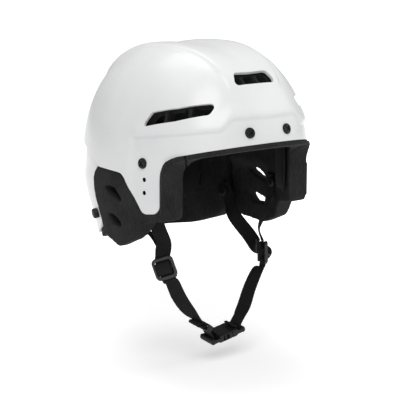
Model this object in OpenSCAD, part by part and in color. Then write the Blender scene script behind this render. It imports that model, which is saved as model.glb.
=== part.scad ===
// Multi-sport helmet: hard shell in two panels, foam liner, comfort pads and a four-point chin harness.
// X points to the wearer's left, the face looks along -Y and Z is up. The origin is the head centre,
// on the mid-plane and level with the ear openings.

/* [Shell] */
// Half width of the helmet at its widest
half_width = 102; // [94:0.5:110]
// Reach of the shell forward of its centre line
front_reach = 129; // [120:0.5:138]
// Reach of the shell behind its centre line
rear_reach = 121.5; // [113:0.5:130]
// Height of the crown above the widest level
crown_rise = 141; // [132:0.5:148]
// Wall of the white shell panels
shell_wall = 3.2; // [2.6:0.1:3.8]
// How far the brow band is set back from the dome above it
band_step = 1.3; // [0.8:0.1:1.6]
// Height of the two rounded ridges on the crown
ridge_height = 2.6; // [1:0.1:3.5]
// Distance of each crown ridge from the mid-plane
ridge_offset = 40; // [34:1:46]
// Depth of the channel between the ridges
channel_depth = 2.4; // [1:0.1:3.5]

/* [Liner] */
// Thickness of the moulded foam liner
liner_wall = 17.6; // [14:0.2:20]
// Foam that shows past the shell edge
trim_reach = 5; // [3:0.5:7]
// Foam that shows in front of the shell at the temples
temple_reach = 8; // [5:0.5:10]
// Thickness of the comfort pads at their middle
pad_wall = 9; // [6:0.5:11]
// How much thinner the foam is at the bottom of the ear lobe
lobe_thinning = 8.4; // [5:0.2:9]
// Clearance between the shell and the foam
fit_gap = 0.5; // [0.4:0.1:0.8]
// Thickness of the narrow pads at the temples
temple_pad_wall = 7; // [5:0.5:9]

/* [Vents] */
// Length of each side vent
side_vent_length = 73; // [60:1:80]
// Height of each side vent at its rear end
side_vent_height = 13; // [9:0.5:15]
// Width of the front vent along its lower edge
front_vent_width = 53; // [40:1:56]
// Height of the front vent
front_vent_height = 15; // [10:0.5:18]
// Width of the foam ribs seen inside the vents
vent_rib = 4; // [3:0.5:6]

/* [Screws] */
// Radius of the screw heads
screw_head_r = 5.3; // [4.5:0.1:6]
// Radius of the screw shanks
screw_shank_r = 2; // [1.6:0.1:2.4]
// Radius of the open accessory holes in the side tongues
accessory_hole_r = 2.3; // [2:0.1:2.8]
// Radius of the black caps on the rear strap rivets
rivet_cap_r = 5.2; // [4.5:0.1:6]

/* [Harness] */
// Width of the webbing
strap_width = 15; // [12:0.5:17]
// Thickness of the webbing
strap_thickness = 1.5; // [1.2:0.1:1.8]
// Outer size of the square strap sliders
slider_size = 23; // [21:0.5:26]
// Thickness of the strap sliders
slider_thickness = 3.6; // [3:0.1:4.5]
// Width of the chin buckle
buckle_width = 22; // [21:0.5:26]
// Thickness of the chin buckle
buckle_thickness = 8.5; // [8:0.1:10]
// Length that the plug reaches into the buckle socket
plug_reach = 10.5; // [10:0.5:13]

/* [Hidden] */
$fn = 40;

// Centre of the dome on the mid-plane, as the fore and aft place and the height of the widest level
dome_y = -4;
dome_z = 18;
depth_below = 300;
front_roundness = 2.44;
rear_roundness = 2.31;
front_doming = 2.67;
rear_doming = 2.52;
nape_draw = 0.13;
column_step = 6;
row_step = 6;

// Depths of the layers below the outer surface of the dome
liner_top = shell_wall + fit_gap;
trim_depth = 0.6;
temple_swell = 1.8;
liner_under = liner_top + liner_wall;
pad_top = liner_under + fit_gap;
// Depth of the rear panel where it tucks under the main shell
tuck_depth = shell_wall + 0.3;
tuck_rise = 2.1;

function smooth(x, lo, hi) = let (t = min(1, max(0, (x - lo) / (hi - lo)))) t * t * (3 - 2 * t);
function unit(v) = v / norm(v);
function bell(x, width) = exp(-pow(x / width, 2));

// Distance from the dome centre to the plain dome, at an angle round from the front and an angle up
function plain_radius(phi, el) =
    let (
        s = abs(sin(phi)),
        c = cos(phi),
        w = smooth(c, -0.7, 0.7),
        n = rear_roundness + (front_roundness - rear_roundness) * w,
        m = rear_doming + (front_doming - rear_doming) * w,
        reach = c > 0 ? front_reach : rear_reach,
        flat = pow(pow(s / half_width, n) + pow(abs(c) / reach, n), -1 / n),
        rise = el > 0 ? crown_rise : depth_below,
        r = pow(pow(cos(el) / flat, m) + pow(abs(sin(el)) / rise, m), -1 / m)
    )
    r * (1 - nape_draw * smooth(-c, -0.35, 0.75) * smooth(-el, -5, 38));

// The crown carries two ridges that run fore and aft, with a channel between them
function crown_relief(phi, el) =
    let (x = abs(plain_radius(phi, el) * cos(el) * sin(phi)))
    smooth(el, 38, 58) * (ridge_height * bell(x - ridge_offset, 15) - channel_depth * bell(x, 18));

function dome_radius(phi, el) = plain_radius(phi, el) + crown_relief(phi, el);
function dome_point(phi, el, depth) =
    let (r = dome_radius(phi, el) - depth)
    [r * cos(el) * sin(phi), dome_y - r * cos(el) * cos(phi), dome_z + r * sin(el)];
function dome_normal(phi, el) =
    unit(cross(
        dome_point(phi + 0.5, el, 0) - dome_point(phi - 0.5, el, 0),
        dome_point(phi, el + 0.5, 0) - dome_point(phi, el - 0.5, 0)
    ));

// Height angle of the ledge above the brow band: it climbs over the forehead
function ledge_el(phi) = 28 + 4.5 * smooth(26 - abs(phi), 0, 8);
function band_depth(phi, el) =
    abs(phi) > 80 ? 0 : band_step * (1 - smooth(el, ledge_el(phi) - 1, ledge_el(phi) + 1))
        * smooth(76 - abs(phi), 0, 6);
// Outer face of the foam that shows: set in a little, and proud of the shell at the temples
function foam_top(phi) = trim_depth - temple_swell * bell(abs(phi) - 50, 12);
// Inner face of the side foam: it thins towards the bottom of the ear lobe
function side_foam_under(phi, el) = liner_under - lobe_thinning * smooth(-el, 8, 22) * smooth(phi, 62, 72);
function tuck(el) = tuck_depth - tuck_rise * smooth(9 - el, 0, 12);
// Top of the rear foam: under the rear panel, then up to the main shell above that panel
function rear_foam_depth(el) =
    tuck(el) + shell_wall + fit_gap - (tuck_depth + shell_wall + fit_gap - liner_top) * smooth(el, 32, 40);

// Grid lines that every layer shares, so that facing layers stay parallel
function stops(lo, hi, step) =
    concat([lo], [for (k = [ceil((lo + 0.8) / step) : floor((hi - 0.8) / step)]) k * step], [hi]);

function quad(a, b, c, d) = [[a, b, c], [a, c, d]];
function flatten(lists) = [for (l = lists) for (v = l) v];

// A closed layer over a grid of points: outer grid first, then the inner one, rows along the height angle
module layer_solid(outer, inner) {
    columns = len(outer);
    rows = len(outer[0]);
    count = columns * rows;
    faces = flatten(concat(
        [for (i = [0 : columns - 2]) for (j = [0 : rows - 2])
            quad(i * rows + j, i * rows + j + 1, (i + 1) * rows + j + 1, (i + 1) * rows + j)],
        [for (i = [0 : columns - 2]) for (j = [0 : rows - 2])
            quad(count + (i + 1) * rows + j, count + (i + 1) * rows + j + 1,
                count + i * rows + j + 1, count + i * rows + j)],
        [for (i = [0 : columns - 2])
            quad(i * rows, (i + 1) * rows, count + (i + 1) * rows, count + i * rows)],
        [for (i = [0 : columns - 2])
            quad(i * rows + rows - 1, count + i * rows + rows - 1,
                count + (i + 1) * rows + rows - 1, (i + 1) * rows + rows - 1)],
        [for (j = [0 : rows - 2])
            quad(j + 1, j, count + j, count + j + 1)],
        [for (j = [0 : rows - 2])
            quad((columns - 1) * rows + j, (columns - 1) * rows + j + 1,
                count + (columns - 1) * rows + j + 1, count + (columns - 1) * rows + j)]
    ));
    polyhedron(concat(flatten(outer), flatten(inner)), faces, convexity = 6);
}

// A layer that goes all the way round and closes over the crown
module cap_solid(outer, inner, outer_pole, inner_pole) {
    columns = len(outer);
    rows = len(outer[0]);
    count = columns * rows;
    pole = 2 * count;
    faces = flatten([for (i = [0 : columns - 1])
        let (a = i * rows, b = ((i + 1) % columns) * rows)
        concat(
            flatten([for (j = [0 : rows - 2]) quad(a + j, a + j + 1, b + j + 1, b + j)]),
            flatten([for (j = [0 : rows - 2])
                quad(count + b + j, count + b + j + 1, count + a + j + 1, count + a + j)]),
            quad(a, b, count + b, count + a),
            [[a + rows - 1, pole, b + rows - 1]],
            [[count + b + rows - 1, pole + 1, count + a + rows - 1]]
        )
    ]);
    polyhedron(concat(flatten(outer), flatten(inner), [outer_pole, inner_pole]), faces, convexity = 6);
}

module dome_layer(phi_lo, phi_hi, el_lo, el_hi, top, under) {
    phis = stops(phi_lo, phi_hi, column_step);
    els = stops(el_lo, el_hi, row_step);
    layer_solid(
        [for (p = phis) [for (e = els) dome_point(p, e, top)]],
        [for (p = phis) [for (e = els) dome_point(p, e, under)]]
    );
}

module dome_cap(el_lo, top, under) {
    phis = [for (k = [0 : 360 / column_step - 1]) k * column_step];
    els = stops(el_lo, 84, row_step);
    cap_solid(
        [for (p = phis) [for (e = els) dome_point(p, e, top)]],
        [for (p = phis) [for (e = els) dome_point(p, e, under)]],
        dome_point(0, 90, top),
        dome_point(0, 90, under)
    );
}

// A crowned cushion on the dome, with a rounded outline and edges that draw in
module dome_pad(phi_mid, phi_half, el_mid, el_half, top, thick, columns, rows) {
    us = [for (i = [0 : columns]) -1 + 2 * i / columns];
    vs = [for (j = [0 : rows]) -1 + 2 * j / rows];
    function side(u) = pow(1 - pow(abs(u) * 0.985, 5), 1 / 5);
    function swell(u, v) = 0.35 + 0.65 * pow((1 - pow(u, 4)) * (1 - pow(v, 4)), 0.5);
    layer_solid(
        [for (u = us) [for (v = vs) dome_point(phi_mid + phi_half * u, el_mid + el_half * v * side(u), top)]],
        [for (u = us) [for (v = vs)
            dome_point(phi_mid + phi_half * u, el_mid + el_half * v * side(u), top + thick * swell(u, v))]]
    );
}

// Places children on the dome with Z along the outward normal and Y up along the surface
module on_dome(phi, el) {
    n = dome_normal(phi, el);
    translate(dome_point(phi, el, 0)) rotate([90 - asin(n[2]), 0, atan2(n[0], -n[1])]) children();
}

module both_sides() {
    children();
    mirror([1, 0, 0]) children();
}

// Outlines: each corner is [across, up, fillet radius]
function corner_arc(a, b, c, steps) =
    b[2] == 0 ? [[b[0], b[1]]] :
    let (
        p = [b[0], b[1]],
        da = unit([a[0], a[1]] - p),
        dc = unit([c[0], c[1]] - p),
        half = acos(da * dc) / 2,
        centre = p + unit(da + dc) * b[2] / sin(half),
        from = p + da * b[2] / tan(half) - centre,
        to = p + dc * b[2] / tan(half) - centre,
        start = atan2(from[1], from[0]),
        turn = atan2(to[1], to[0]) - start,
        sweep = turn > 180 ? turn - 360 : turn < -180 ? turn + 360 : turn
    )
    [for (k = [0 : steps]) centre + b[2] * [cos(start + sweep * k / steps), sin(start + sweep * k / steps)]];
function rounded(corners, steps = 6) =
    flatten([for (i = [0 : len(corners) - 1])
        corner_arc(corners[(i + len(corners) - 1) % len(corners)], corners[i],
            corners[(i + 1) % len(corners)], steps)]);

// A side outline in [y, z], carried right across the helmet
module across(corners) {
    rotate([90, 0, 90]) linear_extrude(2 * half_width + 40, center = true) polygon(rounded(corners));
}

// Side view of the shell edge: brow line, face corner, tongue, ear arch, then the seam to the back
far = 190;
brow_front = [-130, 70];
brow_slope = -0.26;
face_corner_y = -70;
tongue_bottom = 1;
tongue_rear_y = -50;
ear_top = 37;
seam_start_y = 20;
seam_bend = [46, 50];
seam_back = [150, 71];
function brow_at(y) = brow_front[1] + brow_slope * (y - brow_front[0]);

function shell_outline(grow) = [
    [-far, brow_at(-far) - grow, 0],
    [face_corner_y - grow, brow_at(face_corner_y) - grow, 23],
    [face_corner_y - grow, tongue_bottom - grow, 9],
    [tongue_rear_y + grow / 2, tongue_bottom - 2.5 - grow, 8],
    [-21.5 + grow / 2, ear_top - 1 - grow, 13],
    [seam_start_y, ear_top - grow, 2],
    [seam_bend[0], seam_bend[1] - grow, 12],
    [seam_back[0], seam_back[1] - grow, 0],
    [far, far + 60, 0],
    [-far, far + 60, 0]
];

// Front edge of the rear panel, which is also the rear edge of the ear foam
rear_panel_outline = [
    [seam_start_y + 5.4, ear_top + 4, 0],
    [38, 26, 12],
    [36.5, 4, 14],
    [27, -22, 3],
    [36, -30, 8],
    [62, -43, 20],
    [far, -50, 0],
    [far, 100, 0],
    [60, 76, 10],
    [35, 63, 4]
];

liner_outline = [
    [-far, brow_at(-far) - trim_reach, 0],
    [face_corner_y - temple_reach, brow_at(face_corner_y - temple_reach) - trim_reach, 22],
    [face_corner_y - temple_reach, -6, 6],
    [-52, -13, 6],
    [-40, -31, 10],
    [-14, -40, 12],
    [19, -35, 10],
    [26, -24, 4],
    [35.5, 4, 14],
    [37.2, 26, 12],
    [24, 40, 2],
    [46, 110, 0],
    [46, far, 0],
    [-far, far, 0]
];

rear_liner_outline = [
    [27.4, -24, 3],
    [36, -34, 8],
    [64, -47.5, 20],
    [far, -58, 0],
    [far, far, 0],
    [46.6, far, 0],
    [46.6, 110, 0],
    [24.7, 40, 2],
    [38, 26, 12],
    [36.6, 4, 14]
];

upper_ear_hole = [[13, 16.5, 2], [3, 20.5, 4], [-9, 18.5, 5], [-20, 8.5, 2], [-16, 6, 2], [-3, 9.5, 8]];
lower_ear_hole = [[10, -9, 2.5], [-4, -8.5, 6], [-21, -14, 2.5], [-20, -19, 2.5], [0, -18.5, 5]];

// Where the brow, side and crown foam blocks meet
liner_split_phi = 41;
liner_split_el = 60;

// Vents, in the plane that touches the dome at their middle
side_vent_phi = 46;
side_vent_el = 37;
front_vent_el = 49.5;
module side_vent_cut(top, under, ribs) {
    l = side_vent_length;
    h = side_vent_height;
    on_dome(side_vent_phi, side_vent_el)
        translate([0, 0, -under])
            difference() {
                linear_extrude(under - top)
                    polygon(rounded([
                        [-l / 2 - 1, h / 2 + 8, 3.5],
                        [-l / 2 + 4.5, -h / 2 + 8, 4],
                        [0, -h / 2 - 1.6, 0],
                        [l / 2 + 2, -h / 2 - 8, 2.5],
                        [l / 2 - 9.5, h / 2 - 6, 5],
                        [0, h / 2 - 1.5, 0]
                    ]));
                if (ribs)
                    for (x = [-l / 6, l / 6])
                        translate([x - vent_rib / 2, -h, -1]) cube([vent_rib, 2 * h, under]);
            }
}

module front_vent_cut(top, under, ribs) {
    w = front_vent_width / 2;
    h = front_vent_height / 2;
    on_dome(0, front_vent_el)
        translate([0, 0, -under])
            difference() {
                linear_extrude(under - top)
                    polygon(rounded([[-w, -h, 2.5], [w, -h, 2.5], [w - 6, h, 4], [-w + 6, h, 4]]));
                if (ribs)
                    for (x = [-w / 3, w / 3])
                        translate([x - vent_rib / 2, -2 * h, -1]) cube([vent_rib, 4 * h, under]);
            }
}

module rear_vent_cut(top, under) {
    on_dome(152, 3)
        translate([0, 0, -under]) linear_extrude(under - top)
            polygon(rounded([[-17, -4, 3], [17, -6, 3], [15, 5, 3], [-15, 4, 3]]));
}

module vents(top, under, ribs) {
    both_sides() side_vent_cut(top, under, ribs);
    front_vent_cut(top, under, ribs);
}

// Places of the screws and strap rivets, as angles round and up
front_screw_at = [11, 27];
side_screw_at = [65, 16];
rear_rivet_at = [114, -18];
front_rivet_at = [66, -4];
front_post_depth = 10;

head_seat_depth = band_step + 0.9;
head_height = 2.6;
nut_barrel_r = screw_shank_r + 1.2;
nut_flange_r = screw_head_r + 1.2;
nut_flange_t = 1.2;
pocket_depth = 8;
rivet_stem_r = 3;

module hole_at(at, r, top, under) {
    on_dome(at[0], at[1]) translate([0, 0, -under]) cylinder(h = under - top, r = r);
}

// Accessory holes in the side tongue, drilled straight across: place fore and aft, then the heights
accessory_y = -52;
accessory_z = [33, 20];
module accessory_holes(r, x_in) {
    for (z = accessory_z)
        translate([x_in, accessory_y, z]) rotate([0, 90, 0]) cylinder(h = half_width + 4 - x_in, r = r);
}

module screw_seat(at) {
    hole_at(at, screw_head_r + 0.2, -3, head_seat_depth);
    hole_at(at, nut_barrel_r + 0.15, -3, shell_wall + 3);
    hole_at(at, nut_flange_r + 0.3, shell_wall - 0.2, shell_wall + 6);
}

module main_shell() {
    phis = [for (k = [0 : 360 / column_step - 1]) k * column_step - 180];
    function rows(phi) = concat(
        [-16, -10, -4, 2, 8, 14, 20, ledge_el(phi) - 3.5, ledge_el(phi) - 1, ledge_el(phi) + 1],
        [for (e = [36 : row_step : 84]) e]
    );
    color("white")
        difference() {
            intersection() {
                cap_solid(
                    [for (p = phis) [for (e = rows(p)) dome_point(p, e, band_depth(p, e))]],
                    [for (p = phis) [for (e = rows(p)) dome_point(p, e, shell_wall)]],
                    dome_point(0, 90, 0),
                    dome_point(0, 90, shell_wall)
                );
                across(shell_outline(0));
            }
            vents(-12, shell_wall + 6, false);
            both_sides() {
                screw_seat(front_screw_at);
                screw_seat(side_screw_at);
                accessory_holes(accessory_hole_r, half_width - 12);
            }
        }
}

module rear_shell() {
    phis = stops(96, 264, column_step);
    els = stops(-38, 30, row_step);
    color("white")
        difference() {
            intersection() {
                layer_solid(
                    [for (p = phis) [for (e = els) dome_point(p, e, tuck(e))]],
                    [for (p = phis) [for (e = els) dome_point(p, e, tuck(e) + shell_wall)]]
                );
                across(rear_panel_outline);
            }
            both_sides() {
                rear_vent_cut(-8, shell_wall + 10);
                hole_at(rear_rivet_at, rivet_stem_r + 0.3, -6, shell_wall + 8);
            }
        }
}

module accessory_pockets() {
    hole_at(side_screw_at, nut_flange_r + 0.5, -2, liner_top + pocket_depth);
    accessory_holes(accessory_hole_r + 1.2, half_width - 18);
}

module side_foam(phi_lo, phi_hi, el_lo, el_hi) {
    phis = stops(phi_lo, phi_hi, column_step);
    els = stops(el_lo, el_hi, row_step);
    layer_solid(
        [for (p = phis) [for (e = els) dome_point(p, e, foam_top(p))]],
        [for (p = phis) [for (e = els) dome_point(p, e, side_foam_under(p, e))]]
    );
}

// Everything that lies more than an angle up, seen from the middle of the dome
module above(el) {
    low = 60;
    high = 200;
    translate([0, dome_y, dome_z + low]) cylinder(h = high - low, r1 = low / tan(el), r2 = high / tan(el));
}

// Foam that fills out to the level of the shell, less the step that the shell edge sits in
module liner_body(phi_lo, phi_hi, el_lo) {
    difference() {
        intersection() {
            side_foam(phi_lo, phi_hi, el_lo, liner_split_el + 3);
            across(liner_outline);
        }
        above(liner_split_el - 0.3);
        intersection() {
            dome_layer(phi_lo - 6, phi_hi + 6, el_lo - 6, liner_split_el + 6, -4, liner_top);
            across(shell_outline(fit_gap));
        }
    }
}

module brow_liner() {
    color("#2b2b2b")
        difference() {
            liner_body(-liner_split_phi, liner_split_phi, 14);
            vents(-4, liner_under + 8, true);
            both_sides() hole_at(front_screw_at, nut_flange_r + 0.5, -2, liner_top + pocket_depth);
        }
}

module side_liner() {
    color("#2b2b2b")
        difference() {
            liner_body(liner_split_phi + 0.3, 118, -42);
            side_vent_cut(-4, liner_under + 12, true);
            across(upper_ear_hole);
            across(lower_ear_hole);
            accessory_pockets();
            hole_at(front_rivet_at, rivet_stem_r + 0.3, liner_under - front_post_depth - 0.3, liner_under + 6);
            hole_at(rear_rivet_at, rivet_stem_r + 0.3, -6, liner_under + 6);
        }
}

module left_side_liner() side_liner();
module right_side_liner() mirror([1, 0, 0]) side_liner();

module rear_liner() {
    phis = stops(92, 268, column_step);
    els = stops(-44, liner_split_el - 0.3, row_step);
    color("#2b2b2b")
        difference() {
            intersection() {
                layer_solid(
                    [for (p = phis) [for (e = els) dome_point(p, e, rear_foam_depth(e))]],
                    [for (p = phis) [for (e = els) dome_point(p, e, liner_under)]]
                );
                across(rear_liner_outline);
            }
            both_sides() {
                rear_vent_cut(-4, liner_under + 8);
                hole_at(rear_rivet_at, rivet_stem_r + 0.3, -6, liner_under + 6);
            }
        }
}

module crown_liner() {
    color("#2b2b2b") dome_cap(liner_split_el, liner_top + 0.1, liner_under);
}

module brow_pad() {
    color("#1d1d1f") dome_pad(0, 37, 30, 8.5, pad_top, pad_wall, 14, 8);
}

module temple_pad() {
    color("#1d1d1f") dome_pad(50.5, 8, 11.5, 21, pad_top, temple_pad_wall, 10, 12);
}
module left_temple_pad() temple_pad();
module right_temple_pad() mirror([1, 0, 0]) temple_pad();

module side_pad() {
    color("#1d1d1f") dome_pad(92, 20, 36, 9, pad_top, pad_wall, 12, 8);
}
module left_side_pad() side_pad();
module right_side_pad() mirror([1, 0, 0]) side_pad();

module rear_pad() {
    color("#1d1d1f") dome_pad(180, 46, 0, 27, pad_top, pad_wall, 18, 12);
}

module crown_pad() {
    phis = [for (k = [0 : 23]) k * 15];
    rings = [66, 68, 72, 78, 84];
    function swell(e) = 0.35 + 0.65 * smooth(e, 65, 74);
    color("#1d1d1f")
        cap_solid(
            [for (p = phis) [for (e = rings) dome_point(p, e, pad_top + 0.4)]],
            [for (p = phis) [for (e = rings) dome_point(p, e, pad_top + 0.4 + pad_wall * swell(e))]],
            dome_point(0, 90, pad_top + 0.4),
            dome_point(0, 90, pad_top + 0.4 + pad_wall)
        );
}

// Low domed screw head with a cross recess, on a plain shank
module screw(at) {
    on_dome(at[0], at[1])
        translate([0, 0, -head_seat_depth])
            difference() {
                union() {
                    cylinder(h = head_height - 0.8, r = screw_head_r);
                    translate([0, 0, head_height - 0.8])
                        cylinder(h = 0.8, r1 = screw_head_r, r2 = screw_head_r - 1.1);
                    translate([0, 0, -6]) cylinder(h = 6, r = screw_shank_r);
                }
                for (a = [45, 135])
                    rotate([0, 0, a]) translate([-3.2, -0.6, head_height - 1.4]) cube([6.4, 1.2, 2]);
            }
}

// Flanged barrel nut, pressed into the shell from inside
module barrel_nut(at) {
    on_dome(at[0], at[1])
        difference() {
            union() {
                translate([0, 0, -shell_wall - nut_flange_t + 0.2])
                    cylinder(h = nut_flange_t, r = nut_flange_r);
                translate([0, 0, -shell_wall - nut_flange_t - 2])
                    cylinder(h = shell_wall + nut_flange_t + 2 - head_seat_depth - 0.1, r = nut_barrel_r);
            }
            translate([0, 0, -shell_wall - 10]) cylinder(h = 20, r = screw_shank_r + 0.05);
        }
}

module front_screws() color("#1c1c1e") both_sides() screw(front_screw_at);
module side_screws() color("#1c1c1e") both_sides() screw(side_screw_at);
module front_nuts() color("#8f9296") both_sides() barrel_nut(front_screw_at);
module side_nuts() color("#8f9296") both_sides() barrel_nut(side_screw_at);

// Rear strap rivets: a cap outside, and a post that carries the strap inside
cap_base = tuck(rear_rivet_at[1]) - 0.5;
module rear_rivet_caps() {
    color("#151517")
        both_sides() on_dome(rear_rivet_at[0], rear_rivet_at[1])
            translate([0, 0, -cap_base]) {
                cylinder(h = 4.2, r = rivet_cap_r);
                translate([0, 0, 4.2]) cylinder(h = 0.7, r1 = rivet_cap_r, r2 = rivet_cap_r - 0.8);
            }
}

// Strap layer inside the foam, and the inner face of the post heads that hold it
strap_depth = liner_under + 0.9 + strap_thickness / 2;
post_head_t = 2;
post_end = strap_depth + strap_thickness / 2 + 0.4 + post_head_t;
module rivet_post(at, stem_end) {
    on_dome(at[0], at[1])
        translate([0, 0, -post_end]) {
            cylinder(h = post_end - stem_end, r = rivet_stem_r);
            cylinder(h = post_head_t, r = rivet_cap_r);
        }
}
module rear_rivet_posts() color("#151517") both_sides() rivet_post(rear_rivet_at, cap_base);
module front_rivet_posts() color("#151517") both_sides() rivet_post(front_rivet_at, liner_under - front_post_depth);

// Slider frame: its plane faces out and forward, and it tilts with the strap
left_slider_at = [half_width - 33, -42.5, -65.5];
// On the wearer's right, as mirrored: the harness hangs a little to one side
right_slider_at = [half_width - 37.7, -41.5, -62.3];
slider_turn = 53;
slider_roll = -20;
slider_x = cos(slider_roll) * [cos(slider_turn), sin(slider_turn), 0] + sin(slider_roll) * [0, 0, 1];
slider_y = -sin(slider_roll) * [cos(slider_turn), sin(slider_turn), 0] + cos(slider_roll) * [0, 0, 1];
slider_z = [sin(slider_turn), -cos(slider_turn), 0];
function in_slider(at, y, z) = at + y * slider_y + z * slider_z;
function behind_slider(at, x, y, z) = in_slider(at, y, z) + x * slider_x;

// Buckle frame: X runs along the buckle to the wearer's left, Y across it and Z out of its top face
buckle_at = [5, -50, -140];
buckle_rise = 10;
buckle_tilt = 8;
buckle_x = [cos(buckle_rise), 0, sin(buckle_rise)];
buckle_y = [-sin(buckle_tilt) * sin(buckle_rise), cos(buckle_tilt), sin(buckle_tilt) * cos(buckle_rise)];
buckle_z = cross(buckle_x, buckle_y);
function in_buckle(x, z) = buckle_at + x * buckle_x + z * buckle_z;
module at_buckle() translate(buckle_at) rotate([buckle_tilt, -buckle_rise, 0]) children();

// Webbing: a flat ribbon along points [place, direction across the width]
function across_at(path, i) =
    let (
        t = unit(path[min(i + 1, len(path) - 1)][0] - path[max(i - 1, 0)][0]),
        w = path[i][1]
    )
    unit(w - t * (t * w));
function face_at(path, i) =
    let (t = unit(path[min(i + 1, len(path) - 1)][0] - path[max(i - 1, 0)][0]))
    cross(t, across_at(path, i));
module ribbon(path, width, thickness) {
    points = flatten([for (i = [0 : len(path) - 1])
        let (
            c = path[i][0],
            w = across_at(path, i) * width / 2,
            n = face_at(path, i) * thickness / 2
        )
        [c + w + n, c + w - n, c - w - n, c - w + n]
    ]);
    last = 4 * (len(path) - 1);
    faces = concat(
        flatten([for (i = [0 : len(path) - 2]) for (k = [0 : 3])
            quad(4 * i + k, 4 * i + (k + 1) % 4, 4 * i + 4 + (k + 1) % 4, 4 * i + 4 + k)]),
        quad(3, 2, 1, 0),
        quad(last, last + 1, last + 2, last + 3)
    );
    polyhedron(points, faces, convexity = 8);
}

// A smooth run through hand-set points, with extra rings between them
function blend(a, b, c, d, t) =
    0.5 * (2 * b + (c - a) * t + (2 * a - 5 * b + 4 * c - d) * t * t + (3 * b - a - 3 * c + d) * t * t * t);
function eased(points, parts) =
    concat(
        [for (i = [0 : len(points) - 2]) for (k = [0 : parts - 1])
            let (
                a = points[max(i - 1, 0)],
                b = points[i],
                c = points[i + 1],
                d = points[min(i + 2, len(points) - 1)]
            )
            [for (s = [0, 1]) blend(a[s], b[s], c[s], d[s], k / parts)]],
        [points[len(points) - 1]]
    );

// Buckle halves along their shared axis: blocks, bars and the line where they meet
socket_mouth = 4;
socket_length = 16;
plug_face = socket_mouth + 0.4;
plug_length = 6.8;
frame_half = 2;
slot_half = strap_width / 2 + 1;
cavity_half = buckle_width / 2 - 2.2;
cavity_thick = buckle_thickness / 2 - 1.65;
prong_thick = cavity_thick - 0.4;
prong_root_r = 1.5;
prong_pivot = [plug_face + 2.1, buckle_width / 2 - 4.2];

// Wrap of the webbing over a round bar, as an arc about the bar
wrap_gap = 0.3;
bar_r = 1.3;
slider_bar_r = 1.4;
wrap_r = bar_r + wrap_gap + strap_thickness / 2;
slider_wrap_r = slider_bar_r + wrap_gap + strap_thickness / 2;
under_bar = -(slider_thickness / 2 + wrap_gap + strap_thickness / 2);
socket_bar_x = socket_mouth - socket_length - wrap_r - strap_thickness / 2 - wrap_gap;
plug_bar_x = plug_face + plug_length + wrap_r + strap_thickness / 2 + wrap_gap;

front_start = dome_point(front_rivet_at[0], front_rivet_at[1] + 4, strap_depth);
front_tail = dome_point(front_rivet_at[0], front_rivet_at[1] - 5, strap_depth);
function dome_across(at, run) = unit(cross(dome_normal(at[0], at[1]), run));
front_across = dome_across(front_rivet_at, front_tail - front_start);
left_front_run = [
    [front_start, front_across],
    [front_tail, front_across],
    [front_tail + [-3.5, 0.5, -17], [0.4, 0.9, 0]],
    [front_tail + [-10, 1, -32.5], [0.5, 0.87, 0]],
    [in_slider(left_slider_at, 25, under_bar) + [-6, -1, 2], [0.6, 0.79, -0.1]],
    [in_slider(left_slider_at, 13.5, under_bar - 0.4), slider_x]
];
right_front_run = [
    [front_start, front_across],
    [front_tail, front_across],
    [front_tail + [-4.5, 0.5, -13.5], [0.5, 0.87, 0]],
    [front_tail + [-10, 1, -28], [0.75, 0.66, 0]],
    [in_slider(right_slider_at, 25.5, under_bar) + [-4.6, -3.4, 0], [0.72, 0.69, -0.1]],
    [in_slider(right_slider_at, 13.5, under_bar - 0.4), slider_x]
];
function slider_wrap(at) = concat(
    [[in_slider(at, 9.5, under_bar), slider_x]],
    [[in_slider(at, 7.4, under_bar), slider_x]],
    [for (a = [15 : 30 : 165]) [in_slider(at, slider_wrap_r * cos(a), slider_wrap_r * sin(a)), slider_x]],
    [[in_slider(at, -7.4, under_bar), slider_x]],
    [[in_slider(at, -9.5, under_bar), slider_x]]
);
left_lower_run = [
    [in_slider(left_slider_at, -13.5, under_bar - 0.2), slider_x],
    [[57, -44, -81.5], [0.5, 0.85, 0.1]],
    [[44.5, -46, -98.5], [0.35, 0.92, 0.15]],
    [[35.5, -48, -115], [0.2, 0.95, 0.25]]
];
right_lower_run = [
    [in_slider(right_slider_at, -13.5, under_bar - 0.2), slider_x],
    [[56, -43.8, -78], [0.5, 0.85, 0.1]],
    [[49.5, -45.5, -93], [0.4, 0.9, 0.15]],
    [[40, -47.5, -107.5], [0.2, 0.95, 0.25]]
];
function mirrored(path) = [for (p = path) [for (v = p) [-v[0], v[1], v[2]]]];

// Wearer's left: sewn round the bar of the plug
left_end = concat(
    [[in_buckle(23.5, 12), buckle_y]],
    [[in_buckle(plug_bar_x + wrap_r + 0.5, 4.5), buckle_y]],
    [for (a = [0 : -36 : -180])
        [in_buckle(plug_bar_x + wrap_r * cos(a), wrap_r * sin(a)), buckle_y]],
    [[in_buckle(plug_bar_x - wrap_r, 3.2), buckle_y]],
    [[in_buckle(plug_bar_x - wrap_r - 0.2, 5.2), buckle_y]],
    [[in_buckle(plug_bar_x - wrap_r - 1.5, buckle_thickness / 2 + 2.4), buckle_y]],
    [[in_buckle(plug_bar_x - wrap_r - 4.2, buckle_thickness / 2 + 2.6), buckle_y]]
);
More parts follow.
